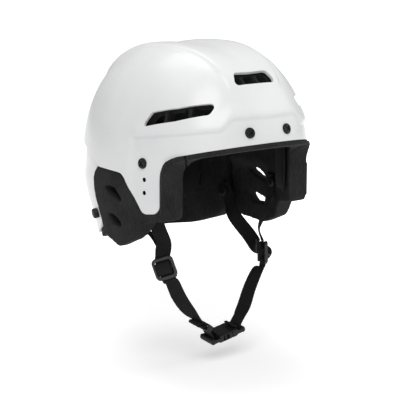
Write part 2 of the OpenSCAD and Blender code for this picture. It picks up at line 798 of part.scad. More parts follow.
// Wearer's right: threaded round the bar of the socket, with a free tail beside the strap
right_end = concat(
    [[in_buckle(socket_bar_x - 14.2, 24.3), buckle_y]],
    [[in_buckle(socket_bar_x - 5.6, 14.8), buckle_y]],
    [[in_buckle(socket_bar_x + wrap_r - 0.6, 6.4), buckle_y]],
    [[in_buckle(socket_bar_x + wrap_r, 2.8), buckle_y]],
    [for (a = [0 : -36 : -180])
        [in_buckle(socket_bar_x + wrap_r * cos(a), wrap_r * sin(a)), buckle_y]],
    [[in_buckle(socket_bar_x - wrap_r, 2.6), buckle_y]],
    [[in_buckle(socket_bar_x - wrap_r - 1, 5.4), buckle_y]],
    [[in_buckle(socket_bar_x - 8.7, 13.4), buckle_y]],
    [[in_buckle(socket_bar_x - 13.6, 19), buckle_y]],
    [[in_buckle(socket_bar_x - 18, 23.6), buckle_y]]
);

// Webbing with the hole that its rivet goes through
module riveted_strap(path, at) {
    color("#161616")
        difference() {
            ribbon(path, strap_width, strap_thickness);
            hole_at(at, rivet_stem_r + 0.2, strap_depth - 4, strap_depth + 4);
        }
}

module left_front_strap()
    riveted_strap(
        concat(
            eased(concat(left_front_run, slider_wrap(left_slider_at)), 2),
            eased(concat(left_lower_run, left_end), 2)
        ),
        front_rivet_at
    );
module right_front_strap()
    riveted_strap(
        concat(
            eased(mirrored(concat(right_front_run, slider_wrap(right_slider_at))), 2),
            eased(concat(mirrored(right_lower_run), right_end), 2)
        ),
        [-front_rivet_at[0], front_rivet_at[1]]
    );

rear_start = dome_point(rear_rivet_at[0] + 3, rear_rivet_at[1] + 4, strap_depth);
rear_tail = dome_point(rear_rivet_at[0] - 4, rear_rivet_at[1] - 6, strap_depth);
rear_across = dome_across(rear_rivet_at, rear_tail - rear_start);
left_rear_run = [
    [rear_start, rear_across],
    [rear_tail, rear_across],
    [rear_tail + [-5.5, -13.6, -15.6], [-0.5, 0.6, -0.6]],
    [behind_slider(left_slider_at, 22, 22, -16), [-0.66, 0.4, -0.62]],
    [behind_slider(left_slider_at, 14, 10.5, -10), [-0.55, 0.1, -0.8]],
    [behind_slider(left_slider_at, 7, 7.5, -6.2), -slider_y],
    [behind_slider(left_slider_at, 1, 7, -5.6), -slider_y],
    [behind_slider(left_slider_at, -6, 6, -5.6), -slider_y]
];
// The right strap is drawn tighter and runs down behind the front one
right_rear_run = [
    [rear_start, rear_across],
    [rear_tail, rear_across],
    [rear_tail + [-3, -17, -7.5], [-0.6, 0.5, -0.55]],
    [rear_tail + [-5, -34, -12.5], [-0.84, 0.2, -0.47]],
    [rear_tail + [-6.5, -44, -18.5], [-0.85, 0, -0.4]],
    [behind_slider(right_slider_at, -5, 21, -6.6), [-0.75, -0.6, 0]],
    [behind_slider(right_slider_at, -1.5, 14.5, -6.8), [-0.66, -0.74, 0.1]],
    [behind_slider(right_slider_at, 0, 9, -6.2), -slider_x],
    [behind_slider(right_slider_at, 0, -2, -5.6), -slider_x]
];
module left_rear_strap() riveted_strap(eased(left_rear_run, 3), rear_rivet_at);
module right_rear_strap() mirror([1, 0, 0]) riveted_strap(eased(right_rear_run, 3), rear_rivet_at);

module slider(at) {
    s = slider_size / 2;
    window = strap_width / 2 + 1.2;
    bar = 3.6;
    color("#3a3a3c")
        translate(at) rotate([90, 0, slider_turn]) rotate([0, 0, slider_roll]) {
            difference() {
                translate([0, 0, -slider_thickness / 2])
                    linear_extrude(slider_thickness)
                        polygon(rounded([[-s, -s, 5], [s, -s, 5], [s, s, 5], [-s, s, 5]]));
                translate([0, 0, -slider_thickness])
                    linear_extrude(2 * slider_thickness)
                        polygon(rounded([
                            [-window, -s + bar, 2], [window, -s + bar, 2],
                            [window, s - bar, 2], [-window, s - bar, 2]
                        ]));
            }
            rotate([0, 90, 0]) cylinder(h = 2 * window + 1, r = slider_bar_r, center = true);
        }
}
module left_slider() slider(left_slider_at);
module right_slider() mirror([1, 0, 0]) slider(right_slider_at);

// Buckle halves
end_bar = 2.6;
bar_reach = wrap_r + strap_thickness / 2 + wrap_gap;
module end_frame(x_bar, outward) {
    w = buckle_width / 2;
    reach = bar_reach + end_bar;
    for (side = [0, 1])
        mirror([0, side, 0])
            translate([outward > 0 ? x_bar - bar_reach - 0.2 : x_bar - reach, slot_half, -frame_half])
                cube([bar_reach + reach + 0.2, w - slot_half, 2 * frame_half]);
    translate([outward > 0 ? x_bar + bar_reach : x_bar - reach, -w, -frame_half])
        cube([end_bar, 2 * w, 2 * frame_half]);
    translate([x_bar, 0, 0]) rotate([90, 0, 0]) cylinder(h = 2 * w - 1, r = bar_r, center = true);
}

module rounded_block(x0, x1, half_w, half_t, r) {
    rotate([90, 0, 90]) translate([0, 0, x0]) linear_extrude(x1 - x0)
        polygon(rounded([[-half_w, -half_t, r], [half_w, -half_t, r], [half_w, half_t, r], [-half_w, half_t, r]]));
}

module buckle_socket() {
    color("#1a1a1c")
        at_buckle() {
            difference() {
                rounded_block(socket_mouth - socket_length, socket_mouth, buckle_width / 2, buckle_thickness / 2, 2.5);
                translate([socket_mouth - plug_reach - 3, -cavity_half, -cavity_thick])
                    cube([plug_reach + 4, 2 * cavity_half, 2 * cavity_thick]);
                translate([socket_mouth - plug_reach - 1, -buckle_width, -cavity_thick])
                    cube([7, 2 * buckle_width, 2 * cavity_thick]);
            }
            end_frame(socket_bar_x, -1);
        }
}

module buckle_plug() {
    color("#1a1a1c")
        at_buckle() {
            difference() {
                rounded_block(plug_face, plug_face + plug_length, buckle_width / 2, buckle_thickness / 2, 2.5);
                for (side = [-1, 1]) {
                    translate([prong_pivot[0], side * prong_pivot[1], -prong_thick - 0.3])
                        cylinder(h = 2 * prong_thick + 0.6, r = prong_root_r + 0.1);
                    translate([plug_face - 1, side > 0 ? prong_pivot[1] - 2.5 : -prong_pivot[1] - 2, -prong_thick - 0.3])
                        cube([prong_pivot[0] - plug_face + 1, 4.5, 2 * prong_thick + 0.6]);
                }
            }
            translate([socket_mouth - plug_reach - 1, -2.2, -prong_thick])
                cube([plug_reach + 2, 4.4, 2 * prong_thick]);
            end_frame(plug_bar_x, 1);
        }
}

// Side prong in the buckle frame: an arm with a squeeze barb that shows in the socket's side window
module prong(side) {
    tip = socket_mouth - plug_reach;
    in_y = prong_pivot[1] - 1.4;
    out_y = cavity_half - 0.4;
    color("#1a1a1c")
        at_buckle() {
            translate([0, 0, -prong_thick])
                linear_extrude(2 * prong_thick)
                    polygon([for (p = [
                        [prong_pivot[0], in_y],
                        [prong_pivot[0], prong_pivot[1] + 1.4],
                        [tip + 4.4, out_y],
                        [tip + 3.6, buckle_width / 2 - 0.6],
                        [tip + 1.2, buckle_width / 2 - 0.8],
                        [tip, out_y - 1.4],
                        [tip, in_y]
                    ]) [p[0], side * p[1]]]);
            translate([prong_pivot[0], side * prong_pivot[1], -prong_thick])
                cylinder(h = 2 * prong_thick, r = prong_root_r);
        }
}
module plug_front_prong() prong(-1);
module plug_rear_prong() prong(1);

// Band that holds the strap tail against the strap
keeper_at = [socket_bar_x - 9.7, 17];
keeper_turn = -133;
keeper_length = 7;
keeper_wall = 1.4;
keeper_half = [strap_width / 2 + 0.6, 3.2];
module strap_keeper() {
    color("#1a1a1c")
        at_buckle()
            translate([keeper_at[0], 0, keeper_at[1]]) rotate([0, keeper_turn, 0])
                difference() {
                    rounded_block(-keeper_length / 2, keeper_length / 2,
                        keeper_half[0] + keeper_wall, keeper_half[1] + keeper_wall, 1.6);
                    translate([-keeper_length, -keeper_half[0], -keeper_half[1]])
                        cube([2 * keeper_length, 2 * keeper_half[0], 2 * keeper_half[1]]);
                }
}

main_shell();
rear_shell();
brow_liner();
left_side_liner();
right_side_liner();
rear_liner();
crown_liner();
brow_pad();
left_temple_pad();
right_temple_pad();
rear_pad();
crown_pad();
left_side_pad();
right_side_pad();
front_screws();
side_screws();
front_nuts();
side_nuts();
rear_rivet_caps();
rear_rivet_posts();
front_rivet_posts();
left_front_strap();
right_front_strap();
left_rear_strap();
right_rear_strap();
left_slider();
right_slider();
buckle_socket();
buckle_plug();
plug_front_prong();
plug_rear_prong();
strap_keeper();
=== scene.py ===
import math

import bpy
import numpy as np
from mathutils import Matrix, Vector


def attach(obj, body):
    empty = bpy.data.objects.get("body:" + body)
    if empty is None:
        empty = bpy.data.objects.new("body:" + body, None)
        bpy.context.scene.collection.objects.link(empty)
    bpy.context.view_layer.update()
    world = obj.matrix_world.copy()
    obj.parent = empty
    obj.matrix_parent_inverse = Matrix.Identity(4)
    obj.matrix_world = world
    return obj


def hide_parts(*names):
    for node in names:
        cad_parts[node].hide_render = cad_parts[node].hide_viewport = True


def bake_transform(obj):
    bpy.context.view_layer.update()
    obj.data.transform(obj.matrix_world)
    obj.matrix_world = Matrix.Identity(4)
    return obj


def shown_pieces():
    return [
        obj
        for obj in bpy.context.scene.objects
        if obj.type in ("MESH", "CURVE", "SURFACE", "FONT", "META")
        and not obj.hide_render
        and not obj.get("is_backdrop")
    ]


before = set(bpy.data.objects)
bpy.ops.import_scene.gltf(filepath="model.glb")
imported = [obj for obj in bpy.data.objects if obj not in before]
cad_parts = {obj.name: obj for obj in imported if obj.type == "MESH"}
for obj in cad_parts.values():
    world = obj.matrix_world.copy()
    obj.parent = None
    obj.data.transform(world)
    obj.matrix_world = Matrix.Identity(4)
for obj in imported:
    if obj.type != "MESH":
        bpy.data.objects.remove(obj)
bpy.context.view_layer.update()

mm = 0.001
acrossFlip = np.array([-1.0, 1.0, 1.0])  # to the other side of the mid-plane

# Helmet dome, the same surface as the CAD model, in millimetres
dome = {
    "halfWidth": 102.0, "frontReach": 129.0, "rearReach": 121.5, "crownRise": 141.0, "depthBelow": 300.0,
    "centreY": -4.0, "centreZ": 18.0, "frontRound": 2.44, "rearRound": 2.31, "frontDoming": 2.67,
    "rearDoming": 2.52, "napeDraw": 0.13, "ridgeHeight": 2.6, "ridgeOffset": 40.0, "ridgeWide": 15,
    "channelDepth": 2.4, "channelWide": 18, "relief": (38, 58), "bandStep": 1.3,
}
# The crown panel's raised edge, and the ledge and shelf over the brow band; low and high are elevations
crease = {
    "height": 1.9, "offset": 43.8, "flare": 0.1, "slope": 3.4, "groove": 0.5, "grooveAt": 1.5,
    "grooveWidth": 2.6, "low": 42, "high": 50, "ledge": 1.7, "ledgeAt": 28, "ledgeRise": 4.5, "riseHalf": 26,
    "riseFade": 8, "soft": 0.6, "shelf": 1.2, "shelfTall": 7.5, "shelfFade": 6.3, "ends": 76, "endFade": 6,
}
# Depths through the helmet's wall, and how far the foam swells at the temple and the ear lobe
wall = {
    "shell": 3.2, "edge": 0.8, "gap": 0.5, "foam": 17.6, "trim": 0.6, "pad": 9.0, "templePad": 7.0,
    "templeHigh": 2.6, "templeLow": 11.0, "lobeSwell": 3.5, "earThin": 8.4, "tuckGap": 0.3, "tuckIn": 2.1,
}
# Degrees round the head, or up or down from its middle: a pair is where a form starts and where it is full
fades = {
    "fatten": (-24, -2), "temple": (36, 47), "templeEnd": 53.5, "templeFade": 3.5, "lobeDown": (12, 17),
    "lobe": (44, 52), "lobeEnd": 96, "lobeFade": 24, "guardLow": (8, 22), "guard": (62, 72),
    "guardHigh": (-8, 3), "guardBack": (70, 79), "tuckEnd": 9, "tuckFade": 12, "rearTop": (32, 40),
}
tuckTop = wall["shell"] + wall["tuckGap"]
linerTop = wall["shell"] + wall["gap"]
linerUnder = linerTop + wall["foam"]
padTop = linerUnder + wall["gap"]


def ease(x, low, high):
    t = np.clip((np.asarray(x, float) - low) / (high - low), 0.0, 1.0)
    return t * t * (3 - 2 * t)


def bell(x, width):
    return np.exp(-((np.asarray(x, float) / width) ** 2))


def plainRadius(phi, el):
    # phi goes round from the front towards the wearer's left and el goes up, both in degrees
    p, e = np.radians(phi), np.radians(el)
    s, c = np.abs(np.sin(p)), np.cos(p)
    w = ease(c, -0.7, 0.7)
    n = dome["rearRound"] + (dome["frontRound"] - dome["rearRound"]) * w
    m = dome["rearDoming"] + (dome["frontDoming"] - dome["rearDoming"]) * w
    reach = np.where(c > 0, dome["frontReach"], dome["rearReach"])
    flat = ((s / dome["halfWidth"]) ** n + (np.abs(c) / reach) ** n) ** (-1 / n)
    rise = np.where(np.asarray(el) > 0, dome["crownRise"], dome["depthBelow"])
    r = ((np.cos(e) / flat) ** m + (np.abs(np.sin(e)) / rise) ** m) ** (-1 / m)
    return r * (1 - dome["napeDraw"] * ease(-c, -0.35, 0.75) * ease(-np.asarray(el, float), -5, 38))


def domeRadius(phi, el):
    plain = plainRadius(phi, el)
    x = np.abs(plain * np.cos(np.radians(el)) * np.sin(np.radians(phi)))
    ridge = dome["ridgeHeight"] * bell(x - dome["ridgeOffset"], dome["ridgeWide"])
    channel = dome["channelDepth"] * bell(x, dome["channelWide"])
    return plain + ease(el, *dome["relief"]) * (ridge - channel)


def domePoint(phi, el, depth=0.0):
    phi, el = np.asarray(phi, float), np.asarray(el, float)
    r = domeRadius(phi, el) - depth
    p, e = np.radians(phi), np.radians(el)
    return np.stack([r * np.cos(e) * np.sin(p), dome["centreY"] - r * np.cos(e) * np.cos(p),
                     dome["centreZ"] + r * np.sin(e)], -1)


def unit(v):
    v = np.asarray(v, float)
    return v / np.linalg.norm(v, axis=-1, keepdims=True)


def domeNormal(phi, el):
    return unit(np.cross(domePoint(phi + 0.5, el) - domePoint(phi - 0.5, el),
                         domePoint(phi, el + 0.5) - domePoint(phi, el - 0.5)))


def ledgeEl(phi):
    rise = crease["ledgeRise"] * ease(crease["riseHalf"] - np.abs(phi), 0, crease["riseFade"])
    return crease["ledgeAt"] + rise


def bandDepth(phi, el):
    # The brow band lies behind a ledge, above which the shell stands out as a low shelf
    above, soft = el - ledgeEl(phi), crease["soft"]
    top = ease(crease["shelfTall"] - above, 0, crease["shelfFade"])
    shelf = crease["shelf"] * ease(above, -soft, 2 * soft) * top
    step = crease["ledge"] * (1 - ease(above, -soft, soft)) - shelf
    return step * ease(crease["ends"] - np.abs(phi), 0, crease["endFade"])


def raisedPanel(phi, el):
    # The crown panel between the ridges stands a little proud, with a crisp edge
    flat = plainRadius(phi, el) * np.cos(np.radians(el))
    x, y = np.abs(flat * np.sin(np.radians(phi))), dome["centreY"] - flat * np.cos(np.radians(phi))
    past = x - (crease["offset"] + crease["flare"] * y)
    edge = crease["height"] * (1 - ease(past, -crease["slope"], 0))
    groove = crease["groove"] * bell(past - crease["grooveAt"], crease["grooveWidth"])
    return (edge - groove) * ease(el, crease["low"], crease["high"])


def foamTop(phi, el):
    # The temple foam swells out in front of the shell's tongue, most of all low down
    low = -np.asarray(el, float)
    out = np.abs(phi)
    fat = wall["templeHigh"] + (wall["templeLow"] - wall["templeHigh"]) * ease(low, *fades["fatten"])
    temple = fat * ease(out, *fades["temple"]) * ease(fades["templeEnd"] - out, 0, fades["templeFade"])
    lobe = ease(low, *fades["lobeDown"]) * ease(out, *fades["lobe"])
    lobe = lobe * ease(fades["lobeEnd"] - out, 0, fades["lobeFade"])
    return wall["trim"] - np.maximum(temple, wall["lobeSwell"] * lobe)


def sideFoamUnder(phi, el):
    # The ear guard is thinner than the rest of the side foam
    low = -np.asarray(el, float)
    guard = np.maximum(ease(low, *fades["guardLow"]) * ease(phi, *fades["guard"]),
                       ease(low, *fades["guardHigh"]) * ease(phi, *fades["guardBack"]))
    return linerUnder - wall["earThin"] * guard


def tuck(el):
    # The rear panel slips under the main shell and comes out to its level lower down
    return tuckTop - wall["tuckIn"] * ease(fades["tuckEnd"] - np.asarray(el, float), 0, fades["tuckFade"])


def rearFoamDepth(el):
    return tuck(el) + linerTop - tuckTop * ease(el, *fades["rearTop"])


# Outlines in side view: [fore and aft, up, corner radius]
far = 190.0
browFront, browSlope = (-130.0, 70.0), -0.26


def browAt(y):
    return browFront[1] + browSlope * (y - browFront[0])


def shellOutline(grow):
    return [
        [-far, browAt(-far) - grow, 0], [-70 - grow, browAt(-70) - grow, 23], [-70 - grow, 1 - grow, 9],
        [-50 + grow / 2, -1.5 - grow, 8], [-21.5 + grow / 2, 36 - grow, 13], [20, 37 - grow, 2],
        [46, 50 - grow, 12], [150, 71 - grow, 0], [far, far + 60, 0], [-far, far + 60, 0],
    ]


rearPanelOutline = [
    [17, 42, 0], [24, 37.5, 8], [35, 26, 12], [34.5, 4, 14], [27, -22, 3], [36, -30, 8], [62, -43, 20],
    [far, -50, 0], [far, 100, 0], [60, 76, 10], [35, 63, 4],
]
linerOutline = [
    [-far, browAt(-far) - 5, 0], [-78, browAt(-78) - 5, 22], [-78, -6, 6], [-51, -10, 6], [-38.5, -29, 11],
    [-14, -40, 12], [19, -35, 10], [26, -24, 4], [33.6, 4, 14], [34.4, 26, 12], [22, 39.5, 4],
    [46, 110, 0], [46, far, 0], [-far, far, 0],
]
rearLinerOutline = [
    [27.4, -24, 3], [37.5, -39, 9], [64, -48.5, 20], [far, -58, 0], [far, far, 0], [46.6, far, 0],
    [46.6, 110, 0], [24.7, 40, 2], [38, 26, 12], [36.6, 4, 14],
]
upperEarHole = [[13, 16.5, 2], [3, 20.5, 4], [-9, 18.5, 5], [-20, 8.5, 2], [-16, 6, 2], [-3, 9.5, 8]]
lowerEarHole = [[10, -9, 2.5], [-4, -8.5, 6], [-21, -14, 2.5], [-20, -19, 2.5], [0, -18.5, 5]]
sideVent = [[-37.5, 14.5, 3.5], [-32, 1.5, 4], [0, -8.1, 0], [38.5, -14.5, 2.5], [27, 0.5, 5], [0, 5, 0]]
frontVent = [[-26.5, -7.5, 4], [26.5, -7.5, 4], [20.5, 7.5, 5.5], [-20.5, 7.5, 5.5]]
rearVent = [[-17, -4, 3], [17, -6, 3], [15, 5, 3], [-15, 4, 3]]
places = {
    "sideVent": (46, 37), "frontVent": (0, 49.5), "rearVent": (152, 3), "frontScrew": (11, 27),
    "sideScrew": (65, 16),
}
accessoryHoles = {
    "y": -52.0, "heights": (33.0, 20.0), "radius": 2.3, "pocket": 3.5, "pocketFrom": 84.0, "insert": 3.2,
    "insertTilt": 0.45,
}
screwHole = 3.35
wide = 140.0  # further out than any part of the helmet


def rounded(corners, steps=8):
    points = []
    for i, (x, y, r) in enumerate(corners):
        p = np.array([x, y], float)
        if r == 0:
            points.append(p)
            continue
        da = unit(np.array(corners[i - 1][:2], float) - p)
        dc = unit(np.array(corners[(i + 1) % len(corners)][:2], float) - p)
        half = math.acos(float(np.clip(da @ dc, -1, 1))) / 2
        centre = p + unit(da + dc) * r / math.sin(half)
        start, stop = p + da * r / math.tan(half) - centre, p + dc * r / math.tan(half) - centre
        a0 = math.atan2(start[1], start[0])
        turn = math.atan2(stop[1], stop[0]) - a0
        turn = (turn + math.pi) % (2 * math.pi) - math.pi
        for k in range(steps + 1):
            a = a0 + turn * k / steps
            points.append(centre + r * np.array([math.cos(a), math.sin(a)]))
    return np.array(points)


def insideDistance(x, y, polygon):
    # Distance to the outline, positive inside it
    p = np.stack([np.ravel(x), np.ravel(y)], -1)
    best = np.full(len(p), 1e9)
    inside = np.zeros(len(p), bool)
    for a, b in zip(polygon, np.roll(polygon, -1, 0)):
        e, w = b - a, p - a
        length = float(e @ e)
        if length < 1e-12:
            continue
        t = np.clip(w @ e / length, 0, 1)
        d = w - t[:, None] * e
        best = np.minimum(best, (d * d).sum(1))
        crosses = ((a[1] <= p[:, 1]) != (b[1] <= p[:, 1]))
        with np.errstate(divide="ignore", invalid="ignore"):
            at = a[0] + (p[:, 1] - a[1]) * e[0] / e[1]
        inside ^= crosses & (p[:, 0] < at)
    d = np.sqrt(best)
    return np.where(inside, d, -d).reshape(np.shape(x))


def seatFrame(place, side=1):
    # Right, up and outward axes on the dome, as the CAD model places its vents and screws
    phi, el = place
    origin, out = domePoint(phi, el), domeNormal(phi, el)
    pitch, turn = math.radians(90 - math.degrees(math.asin(out[2]))), math.atan2(out[0], -out[1])
    axes = np.array(Matrix.Rotation(turn, 3, "Z") @ Matrix.Rotation(pitch, 3, "X"))
    right, up, out = axes[:, 0], axes[:, 1], axes[:, 2]
    if side < 0:
        return origin * acrossFlip, -right * acrossFlip, up * acrossFlip, out * acrossFlip
    return origin, right, up, out


def localTo(points, place, side=1):
    origin, right, up, out = seatFrame(place, side)
    d = points - origin
    return d @ right * side, d @ up, d @ out


# Small helpers for objects
def deselect():
    if bpy.context.object and bpy.context.object.mode != "OBJECT":
        bpy.ops.object.mode_set(mode="OBJECT")
    bpy.ops.object.select_all(action="DESELECT")


def choose(obj):
    deselect()
    obj.select_set(True)
    bpy.context.view_layer.objects.active = obj
    return obj


def finishModifiers(obj):
    choose(obj)
    for modifier in list(obj.modifiers):
        bpy.ops.object.modifier_apply(modifier=modifier.name)
    return obj


def addModifier(obj, kind, **values):
    modifier = obj.modifiers.new(kind.title(), kind)
    for name, value in values.items():
        setattr(modifier, name, value)
    return modifier


def roundEdges(obj, width, segments, angle):
    # Bevels every edge sharper than the angle and applies the modifiers
    addModifier(obj, "BEVEL", width=width * mm, segments=segments, limit_method="ANGLE",
                angle_limit=math.radians(angle))
    return finishModifiers(obj)


def remeshed(obj, voxel, rounding):
    # Merges a piece into one skin and softens it
    addModifier(obj, "REMESH", mode="VOXEL", voxel_size=voxel * mm, use_smooth_shade=True)
    addModifier(obj, "SMOOTH", factor=0.5, iterations=rounding)
    return finishModifiers(obj)


def made(operator, name, **options):
    # A new object from one of Blender's own shapes
    deselect()
    operator(**options)
    obj = bpy.context.object
    obj.name = obj.data.name = name
    return obj


def meshObject(name, points, faces):
    data = bpy.data.meshes.new(name)
    data.from_pydata([tuple(p) for p in np.asarray(points, float) * mm], [], faces)
    data.validate()
    obj = bpy.data.objects.new(name, data)
    bpy.context.scene.collection.objects.link(obj)
    return obj


def settle(obj):
    # Puts the piece's place into its mesh
    choose(obj)
    bpy.ops.object.transform_apply(location=True, rotation=True, scale=True)
    return obj


def smoothBy(obj, angle=40):
    choose(obj)
    bpy.ops.object.shade_smooth_by_angle(angle=math.radians(angle))
    return obj


def recalculate(obj):
    choose(obj)
    bpy.ops.object.mode_set(mode="EDIT")
    bpy.ops.mesh.select_all(action="SELECT")
    bpy.ops.mesh.remove_doubles(threshold=1e-6)
    bpy.ops.mesh.normals_make_consistent(inside=False)
    bpy.ops.object.mode_set(mode="OBJECT")
    return obj


def joined(objects, name):
    choose(objects[0])
    for o in objects[1:]:
        o.select_set(True)
    if len(objects) > 1:
        bpy.ops.object.join()
    objects[0].name = name
    objects[0].data.name = name
    return objects[0]


def mirrored(obj, name):
    twin = obj.copy()
    twin.data = obj.data.copy()
    twin.name = twin.data.name = name
    bpy.context.scene.collection.objects.link(twin)
    twin.data.transform(Matrix.Scale(-1, 4, (1, 0, 0)))
    twin.data.flip_normals()
    return twin


def cut(obj, cutter, operation="DIFFERENCE"):
    addModifier(obj, "BOOLEAN", object=cutter, operation=operation, solver="EXACT")
    finishModifiers(obj)
    data = cutter.data
    bpy.data.objects.remove(cutter)
    bpy.data.meshes.remove(data)
    return obj


def circle(radius, count):
    turns = [2 * math.pi * k / count for k in range(count)]
    return [[radius * math.cos(a), radius * math.sin(a)] for a in turns]


def drum(below, above):
    # A closed body between two rings of the same number of points
    n = len(below)
    faces = [list(range(n))[::-1], list(range(n, 2 * n))]
    faces += [[i, (i + 1) % n, n + (i + 1) % n, n + i] for i in range(n)]
    return recalculate(meshObject("cutter", below + above, faces))


def prism(polygon, place, low, high):
    # An outline pushed through along an axis: place turns (x, y, height) into a point
    return drum([place(x, y, low) for x, y in polygon], [place(x, y, high) for x, y in polygon])


def acrossPrism(corners, low=-wide):
    # A side-view outline pushed across the helmet
    return prism(rounded(corners), lambda y, z, x: (x, y, z), low, wide)


def seatPrism(polygon, place, low, high, side=1):
    origin, right, up, out = seatFrame(place, side)
    return prism(polygon, lambda x, y, h: origin + side * x * right + y * up + h * out, low, high)


def stopsBetween(low, high, step):
    return np.linspace(low, high, max(2, int(round((high - low) / step)) + 1))


def slabBetween(name, outer, inner):
    # A closed slab between two grids of points
    columns, rows = outer.shape[:2]
    count = rows * columns
    faces = []

    def at(i, j, k=0):
        return k * count + i * rows + j

    for i in range(columns - 1):
        for j in range(rows - 1):
            faces.append([at(i, j), at(i + 1, j), at(i + 1, j + 1), at(i, j + 1)])
            faces.append([at(i, j, 1), at(i, j + 1, 1), at(i + 1, j + 1, 1), at(i + 1, j, 1)])
        faces.append([at(i, 0), at(i, 0, 1), at(i + 1, 0, 1), at(i + 1, 0)])
        faces.append([at(i, rows - 1), at(i + 1, rows - 1), at(i + 1, rows - 1, 1), at(i, rows - 1, 1)])
    last = columns - 1
    for j in range(rows - 1):
        faces.append([at(0, j), at(0, j + 1), at(0, j + 1, 1), at(0, j, 1)])
        faces.append([at(last, j), at(last, j, 1), at(last, j + 1, 1), at(last, j + 1)])
    return recalculate(meshObject(name, np.concatenate([outer.reshape(-1, 3), inner.reshape(-1, 3)]), faces))


def layerSolid(name, phis, els, top, under):
    # A slab of the dome between two depths
    phi, el = np.meshgrid(phis, els, indexing="ij")
    return slabBetween(name, domePoint(phi, el, top(phi, el)), domePoint(phi, el, under(phi, el)))


def capSolid(name, phis, els, top, under):
    # A slab that closes over the crown: top is a depth, under gives one for each elevation
    phi, el = np.meshgrid(phis, els, indexing="ij")
    columns, rows = phi.shape
    count = rows * columns

    def at(i, j, k=0):
        return k * count + (i % columns) * rows + j

    outer, inner = domePoint(phi, el, top).reshape(-1, 3), domePoint(phi, el, under(el)).reshape(-1, 3)
    points = np.concatenate([outer, inner, [domePoint(0, 90, top)], [domePoint(0, 90, under(90))]])
    faces = []
    for i in range(columns):
        for j in range(rows - 1):
            faces.append([at(i, j), at(i + 1, j), at(i + 1, j + 1), at(i, j + 1)])
            faces.append([at(i, j, 1), at(i, j + 1, 1), at(i + 1, j + 1, 1), at(i + 1, j, 1)])
        faces.append([at(i, 0), at(i, 0, 1), at(i + 1, 0, 1), at(i + 1, 0)])
        faces.append([at(i, rows - 1), at(i + 1, rows - 1), 2 * count])
        faces.append([at(i, rows - 1, 1), 2 * count + 1, at(i + 1, rows - 1, 1)])
    return recalculate(meshObject(name, points, faces))


# Shell sheets: a grid on the dome, trimmed exactly along its outlines
sheetTrim = {"near": 6, "step": 0.02, "snap": 0.45, "stride": 1.5, "passes": 5, "halvings": 18}


def trimmedSheet(name, phis, els, keep, depth, ring=False):
    phi, el = np.meshgrid(phis, els, indexing="ij")
    columns, rows = phi.shape

    def place(p, e):
        return domePoint(p, e, depth(p, e))

    def lengths(p, e):
        # Millimetres for one degree round the dome, and for one degree up it
        r = np.linalg.norm(place(p, e) - [0, dome["centreY"], dome["centreZ"]], axis=-1) * math.pi / 180
        return np.maximum(r * np.cos(np.radians(e)), 0.05), r

    def slope(p, e):
        h = sheetTrim["step"]
        return ((keep(place(p + h, e)) - keep(place(p - h, e))) / (2 * h),
                (keep(place(p, e + h)) - keep(place(p, e - h))) / (2 * h))

    # How far each grid point lies from the outline, measured within the sheet
    value = keep(place(phi, el))
    near = np.abs(value) < sheetTrim["near"]
    lp, le = lengths(phi, el)
    gp, ge = slope(phi[near], el[near])
    steep = np.maximum(np.hypot(gp / lp[near], ge / le[near]), 1e-3)
    distance = np.full(phi.shape, np.inf)
    distance[near] = value[near] / steep
    cellP = np.gradient(phi, axis=0) * lp
    cellE = np.gradient(el, axis=1) * le
    reach = sheetTrim["snap"] * np.minimum(np.abs(cellP), np.abs(cellE))
    inside = np.zeros(phi.shape, bool)
    inside[1:-1, 1:-1] = True
    if ring:
        inside[:, 1:-1] = True
    # The grid points nearest to the outline are moved onto it
    snap = (np.abs(distance) < reach) & inside
    p, e, stride = phi[snap].copy(), el[snap].copy(), sheetTrim["stride"]
    for _ in range(sheetTrim["passes"]):
        f = keep(place(p, e))
        gp, ge = slope(p, e)
        a, b = lengths(p, e)
        scale = (gp / a) ** 2 + (ge / b) ** 2 + 1e-9
        p -= np.clip(f * gp / a ** 2 / scale, -stride, stride)
        e -= np.clip(f * ge / b ** 2 / scale, -stride, stride)
    phi[snap], el[snap] = p, e
    sign = np.sign(value).astype(int)
    sign[snap] = 0

    points = list(place(phi, el).reshape(-1, 3))
    crossing = {}

    def between(a, b):
        # The point where a cell's edge crosses the outline
        key = (min(a, b), max(a, b))
        if key not in crossing:
            ia, ja = divmod(a, rows)
            ib, jb = divmod(b, rows)
            pa, pb = phi[ia, ja], phi[ib, jb]
            if abs(pa - pb) > 180:
                pb += 360 if pa > pb else -360
            low, high = 0.0, 1.0
            for _ in range(sheetTrim["halvings"]):
                t = (low + high) / 2
                spot = place(np.array([pa + (pb - pa) * t]),
                             np.array([el[ia, ja] + (el[ib, jb] - el[ia, ja]) * t]))
                if (keep(spot)[0] > 0) == (sign[ia, ja] > 0):
                    low = t
                else:
                    high = t
            crossing[key] = len(points)
            points.append(spot[0])
        return crossing[key]

    # Cells inside the outline stay whole, and those on it are cut along it
    faces = []
    for i in range(columns if ring else columns - 1):
        k = (i + 1) % columns
        for j in range(rows - 1):
            corners = [(i, j), (k, j), (k, j + 1), (i, j + 1)]
            signs = [sign[c] for c in corners]
            if max(signs) <= 0:
                continue
            if min(signs) >= 0:
                faces.append([c[0] * rows + c[1] for c in corners])
                continue
            face = []
            for n in range(4):
                a, b = corners[n], corners[(n + 1) % 4]
                ia, ib = a[0] * rows + a[1], b[0] * rows + b[1]
                if sign[a] >= 0:
                    face.append(ia)
                if sign[a] * sign[b] < 0:
                    face.append(between(ia, ib))
            if len(face) >= 3:
                faces.append(face)
    if ring:
        pole = len(points)
        points.append(domePoint(0.0, 90.0, 0.0))
        faces += [[i * rows + rows - 1, ((i + 1) % columns) * rows + rows - 1, pole] for i in range(columns)]
    used = sorted({i for f in faces for i in f})
    new = {old: n for n, old in enumerate(used)}
    return meshObject(name, [points[i] for i in used], [[new[i] for i in f] for f in faces])


